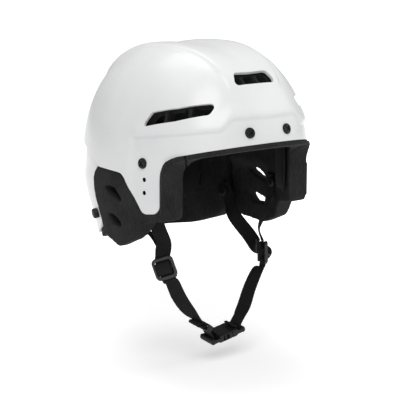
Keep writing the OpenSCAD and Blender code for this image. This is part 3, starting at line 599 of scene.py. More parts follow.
def thicken(obj, thickness, roundness):
    choose(obj)
    bpy.ops.object.mode_set(mode="EDIT")
    bpy.ops.mesh.select_all(action="SELECT")
    bpy.ops.mesh.remove_doubles(threshold=2e-6)
    bpy.ops.object.mode_set(mode="OBJECT")
    addModifier(obj, "SOLIDIFY", thickness=thickness * mm, offset=-1.0, use_even_offset=True,
                use_quality_normals=True)
    return smoothBy(roundEdges(obj, roundness, 3, 50), 60)


def holesKeep(points, shapes):
    value = np.full(points.shape[:-1], 1e3)
    for kind, corners, place in shapes:
        for side in ((1,) if place[0] == 0 else (1, -1)):
            x, y, h = localTo(points, place, side)
            near = (np.abs(h) < 30) & (np.abs(x) < 60) & (np.abs(y) < 40)  # not the far side of the dome
            if not near.any():
                continue
            if kind == "round":
                d = np.hypot(x, y) - corners
            else:
                d = -insideDistance(x, y, corners)
            value = np.where(near, np.minimum(value, d), value)
    return value


def buildMainShell():
    edge = rounded(shellOutline(0), 10)
    shapes = [
        ("outline", rounded(sideVent), places["sideVent"]),
        ("outline", rounded(frontVent), places["frontVent"]),
        ("round", screwHole, places["frontScrew"]), ("round", screwHole, places["sideScrew"]),
    ]

    def keep(points):
        d = insideDistance(points[..., 1], points[..., 2], edge)
        for z in accessoryHoles["heights"]:
            away = np.hypot(points[..., 1] - accessoryHoles["y"], points[..., 2] - z)
            d = np.minimum(d, away - accessoryHoles["radius"])
        return np.minimum(d, holesKeep(points, shapes))

    # The grid is finer in front, and finest at the ledge
    phis = np.concatenate([stopsBetween(-180, -84, 1.6)[:-1], stopsBetween(-84, 84, 0.84),
                           stopsBetween(84, 180, 1.6)[1:-1]])
    els = np.concatenate([stopsBetween(-14, 26, 1.0)[:-1], stopsBetween(26, 34, 0.35)[:-1],
                          stopsBetween(34, 80, 0.8)[:-1], stopsBetween(80, 88.4, 1.4)])
    shell = trimmedSheet("outerShell", phis, els, keep, lambda p, e: bandDepth(p, e) - raisedPanel(p, e),
                         ring=True)
    return thicken(shell, wall["shell"], wall["edge"])


def buildRearShell():
    edge = rounded(rearPanelOutline, 10)
    shapes = [("outline", rounded(rearVent), places["rearVent"])]

    def keep(points):
        d = insideDistance(points[..., 1], points[..., 2], edge)
        return np.minimum(d, holesKeep(points, shapes))

    panel = trimmedSheet("rearPanel", stopsBetween(96, 264, 1.2), stopsBetween(-40, 31, 1.2), keep,
                         lambda phi, el: tuck(el))
    return thicken(panel, wall["shell"], wall["edge"])


mainShell = buildMainShell()
rearShell = buildRearShell()
print("shells ready:", len(mainShell.data.polygons), len(rearShell.data.polygons), "faces")


# Foam liners: slabs of the dome, cut to their outlines and softened
foamGrid = {
    "step": 2.5, "top": 63, "past": 6, "pastTop": 66, "voxel": 1.5, "rearVoxel": 1.8, "crownVoxel": 2.0,
    "rounding": 5, "sideRounding": 6,
}
foamCuts = {
    "crownSplit": 59.7, "shellOut": -15.0, "nutRadius": 7.0, "nutDepth": 8.0, "rib": 2.0,
    "sideRibs": (-12.2, 12.2), "frontRibs": (-8.8, 8.8),
}


def aboveCone(el):
    rings = []
    for h in (60.0, 200.0):
        ring = circle(h / math.tan(math.radians(el)), 96)
        rings.append([(x, dome["centreY"] + y, dome["centreZ"] + h) for x, y in ring])
    return drum(*rings)


def linerBlock(name, phiLow, phiHigh, elLow):
    step, past = foamGrid["step"], foamGrid["past"]
    phis, els = stopsBetween(phiLow, phiHigh, step), stopsBetween(elLow, foamGrid["top"], step)
    block = layerSolid(name, phis, els, foamTop, sideFoamUnder)
    cut(block, acrossPrism(linerOutline), "INTERSECT")
    # Where the shell covers it, the foam stays under the shell and doesn't swell
    phis = stopsBetween(phiLow - past, phiHigh + past, step)
    els = stopsBetween(elLow - past, foamGrid["pastTop"], step)
    under = layerSolid("cutter", phis, els, lambda p, e: np.full(np.shape(p), foamCuts["shellOut"]),
                       lambda p, e: np.full(np.shape(p), linerTop))
    cut(under, acrossPrism(shellOutline(wall["gap"])), "INTERSECT")
    cut(block, under)
    return cut(block, aboveCone(foamCuts["crownSplit"]))


def ribbedVent(block, corners, place, ribs, side, low, high=6):
    # Cuts a vent and leaves its upright foam ribs standing
    half = foamCuts["rib"]
    edges = [-80.0] + [v for x in ribs for v in (x - half, x + half)] + [80.0]
    cutters = []
    for a, b in zip(edges[::2], edges[1::2]):
        clip = seatPrism([[a, -40], [b, -40], [b, 40], [a, 40]], place, low - 2, high + 2, side)
        cutters.append(cut(seatPrism(rounded(corners), place, low, high, side), clip, "INTERSECT"))
    return cut(block, joined(cutters, "cutter"))


def nutPocket(block, place, side=1):
    ring = circle(foamCuts["nutRadius"], 36)
    return cut(block, seatPrism(ring, place, -linerTop - foamCuts["nutDepth"], 2, side))


def buildBrowFoam():
    block = linerBlock("browFoam", -41, 41, 14)
    ribbedVent(block, frontVent, places["frontVent"], foamCuts["frontRibs"], 1, -34)
    for side in (1, -1):
        ribbedVent(block, sideVent, places["sideVent"], foamCuts["sideRibs"], side, -34)
        nutPocket(block, places["frontScrew"], side)
    return remeshed(block, foamGrid["voxel"], foamGrid["rounding"])


def buildSideFoam():
    block = linerBlock("leftSideFoam", 41.3, 118, -42)
    ribbedVent(block, sideVent, places["sideVent"], foamCuts["sideRibs"], 1, -38)
    for hole in (upperEarHole, lowerEarHole):
        cut(block, acrossPrism(hole, 0.0))
    nutPocket(block, places["sideScrew"])
    for z in accessoryHoles["heights"]:
        ring = [[accessoryHoles["y"] + y, z + up] for y, up in circle(accessoryHoles["pocket"], 24)]
        cut(block, prism(ring, lambda y, z, x: (x, y, z), accessoryHoles["pocketFrom"], wide))
    return remeshed(block, foamGrid["voxel"], foamGrid["sideRounding"])


def buildRearFoam():
    phis = stopsBetween(92, 268, foamGrid["step"])
    els = stopsBetween(-44, foamCuts["crownSplit"], foamGrid["step"])
    block = layerSolid("rearFoam", phis, els, lambda p, e: rearFoamDepth(e),
                       lambda p, e: np.full(np.shape(p), linerUnder))
    cut(block, acrossPrism(rearLinerOutline), "INTERSECT")
    for side in (1, -1):
        cut(block, seatPrism(rounded(rearVent), places["rearVent"], -34, 6, side))
    return remeshed(block, foamGrid["rearVoxel"], foamGrid["rounding"])


def buildCrownFoam():
    els = np.concatenate([stopsBetween(60, 84, 3), [87]])
    block = capSolid("crownFoam", np.arange(0, 360, 5.0), els, linerTop + 0.1, lambda el: linerUnder)
    return remeshed(block, foamGrid["crownVoxel"], foamGrid["rounding"])


browFoam = buildBrowFoam()
leftSideFoam = buildSideFoam()
rightSideFoam = mirrored(leftSideFoam, "rightSideFoam")
rearFoam = buildRearFoam()
crownFoam = buildCrownFoam()
print("foam ready:", [len(o.data.polygons) for o in (browFoam, leftSideFoam, rearFoam, crownFoam)])


# Comfort pads: crowned cushions, blown up by a short cloth run
padSettings = {
    "voxel": 3.5, "pressure": 4.0, "frames": 14, "cap": 2.2, "stiffness": 25, "bending": 2.0, "edge": 0.35,
    "corner": 0.985, "rest": 0.9, "crownRest": 0.4, "backSlack": 0.3, "room": 2.4, "templeRoom": 2.0,
}


def padForm(name, phiMid, phiHalf, elMid, elHalf, thick, columns, rows):
    u, v = np.meshgrid(np.linspace(-1, 1, columns + 1), np.linspace(-1, 1, rows + 1), indexing="ij")
    side = (1 - (np.abs(u) * padSettings["corner"]) ** 5) ** 0.2
    swell = padSettings["edge"] + (1 - padSettings["edge"]) * np.sqrt((1 - u ** 4) * (1 - v ** 4))
    phi, el = phiMid + phiHalf * u, elMid + elHalf * v * side
    top = padTop + padSettings["rest"]
    return slabBetween(name, domePoint(phi, el, top), domePoint(phi, el, top + thick * swell))


def crownForm(name):
    top, edge = padTop + padSettings["crownRest"], padSettings["edge"]
    return capSolid(name, np.arange(0, 360, 10.0), np.array([66, 67, 69, 72, 76, 80, 85.0]), top,
                    lambda el: top + wall["pad"] * (edge + (1 - edge) * ease(el, 65, 74)))


def inflate(obj):
    addModifier(obj, "REMESH", mode="VOXEL", voxel_size=padSettings["voxel"] * mm, use_smooth_shade=True)
    finishModifiers(obj)
    count = len(obj.data.vertices)
    rest = np.zeros(count * 3)
    obj.data.vertices.foreach_get("co", rest)
    cloth = obj.modifiers.new("Cloth", "CLOTH")
    cloth.settings.use_pressure = True
    cloth.settings.uniform_pressure_force = padSettings["pressure"]
    cloth.settings.effector_weights.gravity = 0
    cloth.settings.tension_stiffness = cloth.settings.compression_stiffness = padSettings["stiffness"]
    cloth.settings.bending_stiffness = padSettings["bending"]
    cloth.point_cache.frame_start, cloth.point_cache.frame_end = 1, padSettings["frames"]
    scene = bpy.context.scene
    for frameNumber in range(1, padSettings["frames"] + 1):
        scene.frame_set(frameNumber)
    finishModifiers(obj)
    scene.frame_set(1)
    moved = np.zeros(count * 3)
    obj.data.vertices.foreach_get("co", moved)
    rest, moved = rest.reshape(-1, 3), moved.reshape(-1, 3)
    shift = moved - rest
    travelled = np.linalg.norm(shift, axis=1, keepdims=True)
    shift *= np.minimum(1, padSettings["cap"] * mm / np.maximum(travelled, 1e-9))
    moved = rest + shift
    # The back of the pad stays on the foam that carries it
    centre = np.array([0, dome["centreY"], dome["centreZ"]])
    q = moved / mm - centre
    r = np.linalg.norm(q, axis=1)
    phi, el = np.degrees(np.arctan2(q[:, 0], -q[:, 1])), np.degrees(np.arcsin(q[:, 2] / r))
    limit = domeRadius(phi, el) - padTop + padSettings["backSlack"]
    q *= (np.minimum(r, limit) / r)[:, None]
    obj.data.vertices.foreach_set("co", ((q + centre) * mm).ravel())
    addModifier(obj, "SMOOTH", factor=0.5, iterations=2)
    addModifier(obj, "SUBSURF", levels=1, render_levels=1)
    finishModifiers(obj)
    choose(obj)
    bpy.ops.object.shade_smooth()
    return obj


padThick, templeThick = wall["pad"] - padSettings["room"], wall["templePad"] - padSettings["templeRoom"]
# Each pad's middle and half span round the head, the same in elevation, its thickness and its grid
padPlaces = {
    "browPad": (0, 37, 30, 8.0, padThick, 36, 14),
    "leftTemplePad": (50.5, 7.6, 11.5, 20.4, templeThick, 14, 30),
    "leftSidePad": (92, 19.5, 36, 8.6, padThick, 26, 14),
    "rearPad": (180, 45.5, 0, 26.5, padThick, 44, 26),
}
browPad, leftTemplePad, leftSidePad, rearPad = [
    inflate(padForm(name, *place)) for name, place in padPlaces.items()
]
crownPad = inflate(crownForm("crownPad"))
rightTemplePad = mirrored(leftTemplePad, "rightTemplePad")
rightSidePad = mirrored(leftSidePad, "rightSidePad")
print("pads ready")


# Strap paths: listed points as in the CAD model, the lower straps turned a little towards the camera.
# The straps start a clear step below the foam, and each front strap is split at a height
strapSettings = {
    "width": 15.0, "thickness": 1.5, "parts": 6, "across": 9, "wrap": 0.3, "bevel": 0.32, "slack": 0.1,
    "clear": 0.9,
    "tailBar": 3.3, "tailThick": 2.8, "tailWide": 16.4, "patchThick": 6.4, "patchDepth": -5.1,
    "leftSplit": -98.0, "rightSplit": -92.0,
}
sliderSettings = {
    "turn": 53.0, "roll": -20.0, "size": 23.0, "thickness": 3.6, "bar": 1.4, "wall": 3.6, "corner": 5.0,
    "round": 0.95, "play": 1.2, "left": (69.0, -42.5, -65.5), "right": (64.3, -41.5, -62.3),
}
buckleSettings = {
    "at": (5.0, -50.0, -140.0), "rise": 10.0, "tilt": 8.0, "width": 22.0, "thickness": 8.5, "bar": 1.3,
    "socketEnd": -12.0, "plugEnd": 11.2, "barOut": 1.7, "barOver": 0.3,
}
rivetSettings = {
    "front": (66, -4), "rear": (114, -18), "stem": 3.0, "cap": 5.2, "capHeight": 4.9, "capRound": 1.1,
    "frontDepth": 10.0, "ring": 3.1, "ringThick": 0.22, "head": 2.0, "headRound": 0.9, "headLift": 2.4,
    "sunk": 0.5,
}
strapHalf, wrapGap, parts = strapSettings["thickness"] / 2, strapSettings["wrap"], strapSettings["parts"]
strapDepth = linerUnder + strapSettings["clear"] + strapHalf


def sliderAxes():
    turn, roll = math.radians(sliderSettings["turn"]), math.radians(sliderSettings["roll"])
    flat, upward = np.array([math.cos(turn), math.sin(turn), 0.0]), np.array([0.0, 0.0, 1.0])
    return (math.cos(roll) * flat + math.sin(roll) * upward, -math.sin(roll) * flat + math.cos(roll) * upward,
            np.array([math.sin(turn), -math.cos(turn), 0.0]))


sliderX, sliderY, sliderZ = sliderAxes()


def onSlider(at, x, y, z):
    return np.array(at) + x * sliderX + y * sliderY + z * sliderZ


def buckleAxes():
    rise, tilt = math.radians(buckleSettings["rise"]), math.radians(buckleSettings["tilt"])
    x = np.array([math.cos(rise), 0.0, math.sin(rise)])
    y = np.array([-math.sin(tilt) * math.sin(rise), math.cos(tilt), math.sin(tilt) * math.cos(rise)])
    return x, y, np.cross(x, y)


buckleX, buckleY, buckleZ = buckleAxes()


def inBuckle(x, z):
    return np.array(buckleSettings["at"]) + x * buckleX + z * buckleZ


buckleWrap = buckleSettings["bar"] + wrapGap + strapHalf
sliderWrap = sliderSettings["bar"] + wrapGap + strapHalf
underBar = -(sliderSettings["thickness"] / 2 + wrapGap + strapHalf)
socketBarX = buckleSettings["socketEnd"] - buckleWrap - strapHalf - wrapGap
plugBarX = buckleSettings["plugEnd"] + buckleWrap + strapHalf + wrapGap


def eased(points):
    # A smooth run through given points: each row is a place and the direction across the strap
    spots, acrosses = np.array([p[0] for p in points], float), np.array([p[1] for p in points], float)
    rows = []
    for i in range(len(points) - 1):
        near = [max(i - 1, 0), i, i + 1, min(i + 2, len(points) - 1)]
        for k in range(parts):
            t = k / parts
            weights = 0.5 * np.array([-t + 2 * t * t - t ** 3, 2 - 5 * t * t + 3 * t ** 3,
                                      t + 4 * t * t - 3 * t ** 3, -t * t + t ** 3])
            rows.append((weights @ spots[near], weights @ acrosses[near]))
    return rows + [(spots[-1], acrosses[-1])]


def mirroredRun(run):
    return [(np.array(p) * acrossFlip, np.array(a) * acrossFlip) for p, a in run]


def domeAcross(at, run):
    return unit(np.cross(domeNormal(*at), run))


def arc(radius, angles):
    return [(radius * math.cos(math.radians(a)), radius * math.sin(math.radians(a))) for a in angles]


def sliderLoop(at, bulge):
    # The outer layer of webbing, up through the window, over the bar and back
    half = [(9.5, underBar), (7.6, underBar + 0.35), (6.6, -0.6), (5.4, bulge * 0.45), (3.2, bulge * 0.84)]
    loop = half + [(0.0, bulge)] + [(-y, z) for y, z in half[::-1]]
    return [(onSlider(at, 0, y, z), sliderX) for y, z in loop]


def tailLoop(at, high, low, bar=sliderWrap):
    # The inner layer, which turns round the bar under the outer one
    loop = [(high, underBar - 2.3), (10.0, underBar - 1.9), (5.2, underBar - 0.6), (3.0, -0.9)]
    loop += arc(bar, (20, 55, 90, 125, 160))
    loop += [(-3.0, -0.9), (-5.2, underBar - 0.6), (-10.0, underBar - 1.9), (low, underBar - 2.3)]
    return [(onSlider(at, 0, y, z), sliderX) for y, z in loop]


def frontRun(at, middle, bulge, nudge=0.0):
    # middle holds two steps from the foam's edge and one place above the slider
    front = rivetSettings["front"]
    start, tail = domePoint(front[0], front[1] + 4, strapDepth), domePoint(front[0], front[1] - 5, strapDepth)
    across = domeAcross(front, tail - start)
    run = [(start, across), (tail, across)]
    run += [(tail + np.array(step), np.array(side)) for step, side in middle[:2]]
    high, step, side = middle[2]
    run.append((onSlider(at, 0.7 * nudge, high, underBar) + np.array(step), np.array(side)))
    run.append((onSlider(at, nudge, 13.5, underBar - 0.4), sliderX))
    return run + sliderLoop(at, bulge)


def leftStrapRuns():
    at = sliderSettings["left"]
    upper = frontRun(at, [((-3.5, 0.5, -17), (0.4, 0.9, 0)), ((-10, 1, -32.5), (0.5, 0.87, 0)),
                          (25, (-6, -1, 2), (0.6, 0.79, -0.1))], 5.6)
    lower = [(onSlider(at, 0, -13.5, underBar - 0.2), sliderX), ((57, -44, -81.5), (0.05, 0.97, 0.1)),
             ((44.5, -46, -98.5), (-0.25, 0.95, 0.12)), ((35.5, -48, -115), (-0.35, 0.92, 0.15))]
    x, r, top = plugBarX, buckleWrap, buckleSettings["thickness"] / 2
    end = [(23.5, 12), (x + r + 0.5, 4.5)] + [(x + dx, z) for dx, z in arc(r, range(0, -181, -36))]
    end += [(x - r, 3.2), (x - r - 0.2, 5.2), (x - r - 1.5, top + 2.4), (x - r - 4.2, top + 2.6)]
    return upper, lower, [(inBuckle(*spot), buckleY) for spot in end]


def rightStrapRuns():
    at = sliderSettings["right"]
    upper = frontRun(at, [((-4.5, 0.5, -13.5), (0.5, 0.87, 0)), ((-10, 1, -28), (0.75, 0.66, 0)),
                          (25.5, (-4.6, -3.4, 0), (0.72, 0.69, -0.1))], 3.9, -2.4)
    lower = [(onSlider(at, 0, -13.5, underBar - 0.2), sliderX), ((56, -43.8, -78), (0.55, 0.8, 0)),
             ((49.5, -45.5, -93), (0.6, 0.65, -0.25)), ((40, -47.5, -107.5), (0.5, 0.75, -0.15))]
    x, r = socketBarX, buckleWrap
    end = [(-14.2, 24.3), (-5.6, 14.8), (r - 0.6, 6.4), (r, 2.8)] + arc(r, range(0, -181, -36))
    end += [(-r, 2.6), (-r - 1, 5.4), (-7.6, 14.2), (-12.3, 19.4), (-15.4, 21.4), (-18.6, 22.7)]
    # The free tail's end, folded over
    end += [(-20.9, 23.4), (-22.4, 24.5), (-21.9, 25.9), (-20.4, 26.0), (-17.0, 24.9)]
    return mirroredRun(upper), mirroredRun(lower), [(inBuckle(x + dx, z), buckleY) for dx, z in end]


def rearRun(side):
    rear = rivetSettings["rear"]
    start = domePoint(rear[0] + 3, rear[1] + 4, strapDepth)
    tail = domePoint(rear[0] - 4, rear[1] - 6, strapDepth)
    across = domeAcross(rear, tail - start)
    run = [(start, across), (tail, across)]
    if side > 0:
        at = sliderSettings["left"]
        run += [
            (tail + np.array((-5.5, -13.6, -15.6)), np.array((-0.5, 0.6, -0.6))),
            (onSlider(at, 22, 22, -16), np.array((-0.66, 0.4, -0.62))),
            (onSlider(at, 14, 10.5, -10), np.array((-0.55, 0.1, -0.8))),
            (onSlider(at, 7, 7.5, -9.2), -sliderY), (onSlider(at, 1, 7, -9.0), -sliderY),
            (onSlider(at, -6.5, 6, -8.8), -sliderY),
        ]
        return run
    at = sliderSettings["right"]
    run += [
        (tail + np.array((-3, -17, -7.5)), np.array((-0.6, 0.5, -0.55))),
        (tail + np.array((-5, -34, -9.5)), np.array((-0.84, 0.2, -0.47))),
        (tail + np.array((-6.5, -44.5, -14)), np.array((-0.85, 0, -0.4))),
        (onSlider(at, -4.6, 24, -7.4), np.array((-0.75, -0.6, 0))),
        (onSlider(at, -1.5, 16, -7.6), np.array((-0.66, -0.74, 0.1))),
        (onSlider(at, 0.6, 9, -7.0), -sliderX), (onSlider(at, 0.9, -7, -6.6), -sliderX),
    ]
    return mirroredRun(run)


def webbing(name, rows, width=None, thickness=None):
    # A woven band: a grid laid along the run, its UV map in real metres, then given its thickness
    count, across = len(rows), strapSettings["across"]
    band = made(bpy.ops.mesh.primitive_grid_add, name, x_subdivisions=across - 1,
                y_subdivisions=count - 1, size=2, calc_uvs=True)
    centres = np.array([p for p, _ in rows], float)
    travel = np.concatenate([[0], np.cumsum(np.linalg.norm(np.diff(centres, axis=0), axis=1))])
    half = (width or strapSettings["width"]) / 2
    spots = np.zeros(len(band.data.vertices) * 3)
    band.data.vertices.foreach_get("co", spots)
    spots = spots.reshape(-1, 3)
    columns = np.rint((spots[:, 0] + 1) / 2 * (across - 1)).astype(int)
    lines = np.rint((spots[:, 1] + 1) / 2 * (count - 1)).astype(int)
    placed, flat = np.zeros_like(spots), np.zeros((len(spots), 2))
    for i in range(count):
        ahead = unit(centres[min(i + 1, count - 1)] - centres[max(i - 1, 0)])
        w = rows[i][1]
        side = unit(w - ahead * (ahead @ w))
        here = lines == i
        share = columns[here] / (across - 1) * 2 - 1
        placed[here] = centres[i] + share[:, None] * half * side
        flat[here, 0], flat[here, 1] = share * half, travel[i]
    band.data.vertices.foreach_set("co", (placed * mm).ravel())
    uv = band.data.uv_layers.active.data
    for loop, spot in zip(band.data.loops, uv):
        spot.uv = flat[loop.vertex_index] * mm
    thick = thickness or strapSettings["thickness"] - strapSettings["slack"]
    addModifier(band, "SOLIDIFY", thickness=thick * mm, offset=0.0)
    return smoothBy(roundEdges(band, strapSettings["bevel"], 2, 60), 50)


def firstBelow(rows, z):
    # The row where a run first passes below a height
    return next(i for i, (p, _) in enumerate(rows) if p[2] < z)


def frontStraps(side, runs, split):
    # Rivet to slider, slider to half way down, and on to the buckle
    upper, lower, end = runs
    upperRows, lowerRows = eased(upper), eased([upper[-1]] + lower + end)
    middle = firstBelow(lowerRows, split)
    bands = [webbing(side + "UpperStrap", upperRows), webbing(side + "MiddleStrap", lowerRows[:middle + 1]),
             webbing(side + "BuckleStrap", lowerRows[middle:])]
    return bands, lowerRows, middle


leftBands, leftLowerRows, leftMiddle = frontStraps("left", leftStrapRuns(), strapSettings["leftSplit"])
rightBands, rightLowerRows, rightMiddle = frontStraps("right", rightStrapRuns(), strapSettings["rightSplit"])
leftTail = webbing("leftTail", eased(tailLoop(sliderSettings["left"], 11.5, -13.5, strapSettings["tailBar"])),
                   thickness=strapSettings["tailThick"])
rightTail = webbing("rightTail", eased(mirroredRun(tailLoop(sliderSettings["right"], 11.0, -12.0))),
                    strapSettings["tailWide"])
# The folds that the left rear strap is sewn to
foldRun = [
    (onSlider(sliderSettings["left"], 0, y, strapSettings["patchDepth"]), sliderX)
    for y in (11, 7.5, 2, -3, -8.5)
]
leftPatch = webbing("leftPatch", eased(foldRun), thickness=strapSettings["patchThick"])
leftRearRows, rightRearRows = eased(rearRun(1)), eased(rearRun(-1))
leftRearStrap = webbing("leftRearStrap", leftRearRows)
rightRearStrap = webbing("rightRearStrap", rightRearRows)
print("straps ready")


# Small hardware, each shape made once and copied to its other places
def axesMatrix(x, y, z, origin):
    rows = [[float(v[row]) for v in (x, y, z, origin)] for row in range(3)]
    return Matrix(rows + [[0.0, 0.0, 0.0, 1.0]])


def placed(obj, origin, x, y, z):
    obj.matrix_world = axesMatrix(x, y, z, np.asarray(origin, float) * mm)
    return settle(obj)


def disc(name, radius, low, high, vertices=48):
    return settle(made(bpy.ops.mesh.primitive_cylinder_add, name, vertices=vertices, radius=radius * mm,
                       depth=(high - low) * mm, location=(0, 0, (low + high) / 2 * mm)))


def bevelRim(obj, height, width, segments=4):
    # Rounds the edges that lie at one height
    choose(obj)
    level = {v.index for v in obj.data.vertices if abs(v.co.z - height * mm) < 1e-6}
    for v in obj.data.vertices:
        v.select = v.index in level
    for item in list(obj.data.edges) + list(obj.data.polygons):
        item.select = level.issuperset(item.vertices)
    bpy.ops.object.mode_set(mode="EDIT")
    bpy.ops.mesh.select_mode(type="FACE")
    bpy.ops.mesh.region_to_loop()
    bpy.ops.mesh.bevel(offset=width * mm, segments=segments, affect="EDGES")
    bpy.ops.object.mode_set(mode="OBJECT")
    return obj


screwSettings = {
    "head": 5.3, "headHeight": 2.6, "headRound": 1.5, "shank": 2.0, "shankEnd": -6.0, "recess": 1.3,
    "arm": 3.3, "armWide": 1.25, "armRound": 0.14, "sink": dome["bandStep"] + 0.9,
}
nutSettings = {
    "flange": 6.5, "flangeThick": 1.0, "flangeRound": 0.35, "barrel": 3.2, "barrelLong": 3.0,
    "barrelRound": 0.3,
}


def domedScrew(name):
    s = screwSettings
    head = disc(name, s["head"], 0, s["headHeight"])
    bevelRim(head, s["headHeight"], s["headRound"], 5)
    for turn in (45, 135):
        arm = made(bpy.ops.mesh.primitive_cube_add, "arm", size=1, location=(0, 0, s["headHeight"] * mm))
        arm.scale = (2 * s["arm"] * mm, s["armWide"] * mm, 2 * s["recess"] * mm)
        arm.rotation_euler = (0, 0, math.radians(turn))
        cut(head, settle(arm))
    roundEdges(head, s["armRound"], 2, 40)
    shank = disc("shank", s["shank"], s["shankEnd"], 0.2, 24)
    return smoothBy(joined([head, shank], name), 35)


def barrelNut(name):
    n, under = nutSettings, -wall["shell"]
    flange = disc(name, n["flange"], under - n["flangeThick"], under + 0.2)
    bevelRim(flange, under - n["flangeThick"], n["flangeRound"], 3)
    barrel = disc("barrel", n["barrel"], under - n["barrelLong"], -screwSettings["sink"] - 0.1, 32)
    bevelRim(barrel, under - n["barrelLong"], n["barrelRound"], 2)
    for piece in (flange, barrel):
        cut(piece, disc("drill", screwSettings["shank"] + 0.05, -12, 12, 32))
    return smoothBy(joined([flange, barrel], name), 35)


def onBoth(obj, place, name, lift=0.0):
    # One shape on the wearer's left and its twin on the right, as one piece
    origin, right, up, out = seatFrame(place)
    placed(obj, origin + lift * out, right, up, out)
    return joined([obj, mirrored(obj, name + "Twin")], name)


frontScrews = onBoth(domedScrew("frontScrews"), places["frontScrew"], "frontScrews", -screwSettings["sink"])
sideScrews = onBoth(domedScrew("sideScrews"), places["sideScrew"], "sideScrews", -screwSettings["sink"])
frontNuts = onBoth(barrelNut("frontNuts"), places["frontScrew"], "frontNuts")
sideNuts = onBoth(barrelNut("sideNuts"), places["sideScrew"], "sideNuts")


def rivetCap(name):
    r = rivetSettings
    cap = disc(name, r["cap"], 0, r["capHeight"])
    bevelRim(cap, r["capHeight"], r["capRound"], 5)
    ring = made(bpy.ops.mesh.primitive_torus_add, "ring", major_radius=r["ring"] * mm,
                minor_radius=r["ringThick"] * mm, major_segments=48, minor_segments=8,
                location=(0, 0, r["capHeight"] * mm))
    return smoothBy(joined([cap, settle(ring)], name), 35)


def rivetPost(name, stemEnd):
    end = strapDepth + strapHalf + rivetSettings["headLift"]
    stem = disc(name, rivetSettings["stem"], -end, -stemEnd, 32)
    head = disc("postHead", rivetSettings["cap"], -end, -end + rivetSettings["head"])
    bevelRim(head, -end, rivetSettings["headRound"], 4)
    return smoothBy(joined([head, stem], name), 35)


capBase = tuck(rivetSettings["rear"][1]) - rivetSettings["sunk"]
rearCaps = onBoth(rivetCap("rearCaps"), rivetSettings["rear"], "rearCaps", -capBase)
rearPosts = onBoth(rivetPost("rearPosts", capBase), rivetSettings["rear"], "rearPosts")
stemTop = linerUnder - rivetSettings["frontDepth"]
frontPosts = onBoth(rivetPost("frontPosts", stemTop), rivetSettings["front"], "frontPosts")


def webSlider(name):
    s = sliderSettings
    window = strapSettings["width"] / 2 + s["play"]
    frameShape = settle(made(bpy.ops.mesh.primitive_plane_add, name, size=s["size"] * mm,
                             location=(0, 0, -s["thickness"] / 2 * mm)))
    bpy.ops.object.mode_set(mode="EDIT")
    bpy.ops.mesh.select_all(action="SELECT")
    bpy.ops.mesh.bevel(offset=s["corner"] * mm, segments=8, affect="VERTICES")
    bpy.ops.mesh.select_all(action="SELECT")
    bpy.ops.mesh.inset(thickness=(s["size"] / 2 - window) * mm, depth=0)
    bpy.ops.transform.resize(value=(1, (s["size"] / 2 - s["wall"]) / window, 1))
    bpy.ops.mesh.delete(type="FACE")
    bpy.ops.object.mode_set(mode="OBJECT")
    addModifier(frameShape, "SOLIDIFY", thickness=s["thickness"] * mm, offset=1.0)
    roundEdges(frameShape, s["round"], 4, 50)
    bar = settle(made(bpy.ops.mesh.primitive_cylinder_add, "bar", vertices=28, radius=s["bar"] * mm,
                      depth=(2 * window + 1) * mm, rotation=(0, math.radians(90), 0)))
    return smoothBy(joined([frameShape, bar], name), 40)


leftSlider = placed(webSlider("leftSlider"), sliderSettings["left"], sliderX, sliderY, sliderZ)
rightSource = placed(webSlider("rightSource"), sliderSettings["right"], sliderX, sliderY, sliderZ)
rightSlider = mirrored(rightSource, "rightSlider")
bpy.data.objects.remove(rightSource)


mouldSettings = {
    "voxel": 0.42, "rounding": 12, "prongVoxel": 0.3, "prongRounding": 4, "barX": 2.5, "barZ": 3.3,
}


def capsule(x, halfLength, rx, rz):
    # A rounded bar across the buckle, in its own frame
    bar = settle(made(bpy.ops.mesh.primitive_cylinder_add, "bar", vertices=28, radius=1 * mm,
                      depth=2 * (halfLength - rx) * mm, rotation=(math.radians(90), 0, 0)))
    ends = []
    for side in (1, -1):
        ball = made(bpy.ops.mesh.primitive_uv_sphere_add, "ball", segments=28, ring_count=14, radius=1 * mm)
        ball.scale = (1, rx, 1)
        ball.location = (0, side * (halfLength - rx) * mm, 0)
        ends.append(settle(ball))
    bar = joined([bar] + ends, "bar")
    bar.scale = (rx, 1, rz)
    bar.location = (x * mm, 0, 0)
    settle(bar)
    return placed(bar, buckleSettings["at"], buckleX, buckleY, buckleZ)


def softened(node, name, bars=(), voxel=mouldSettings["voxel"], rounding=mouldSettings["rounding"]):
    # A worked copy of a CAD moulding: merged, given its rounded bars, and softened all over
    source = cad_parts[node]
    obj = source.copy()
    obj.data = source.data.copy()
    obj.parent = None
    obj.matrix_world = source.matrix_world.copy()
    obj.name = obj.data.name = name
    bpy.context.scene.collection.objects.link(obj)
    recalculate(settle(obj))
    return remeshed(joined([obj] + [capsule(*bar) for bar in bars], name), voxel, rounding)


def endBar(x):
    halfLength = buckleSettings["width"] / 2 + buckleSettings["barOver"]
    return [(x, halfLength, mouldSettings["barX"], mouldSettings["barZ"])]


endReach = buckleWrap + strapHalf + wrapGap + buckleSettings["barOut"]
buckleSocket = softened("buckle_socket", "buckleSocket", endBar(socketBarX - endReach))
bucklePlug = softened("buckle_plug", "bucklePlug", endBar(plugBarX + endReach))
frontProng, rearProng = [
    softened("plug_" + side + "_prong", side + "Prong", voxel=mouldSettings["prongVoxel"],
             rounding=mouldSettings["prongRounding"])
    for side in ("front", "rear")
]


keeperSettings = {
    "at": (-9.25, 17.4), "turn": 133.0, "length": 7.0, "wall": 1.8, "halfWide": 8.1, "halfHigh": 2.0,
    "round": 0.85,
}


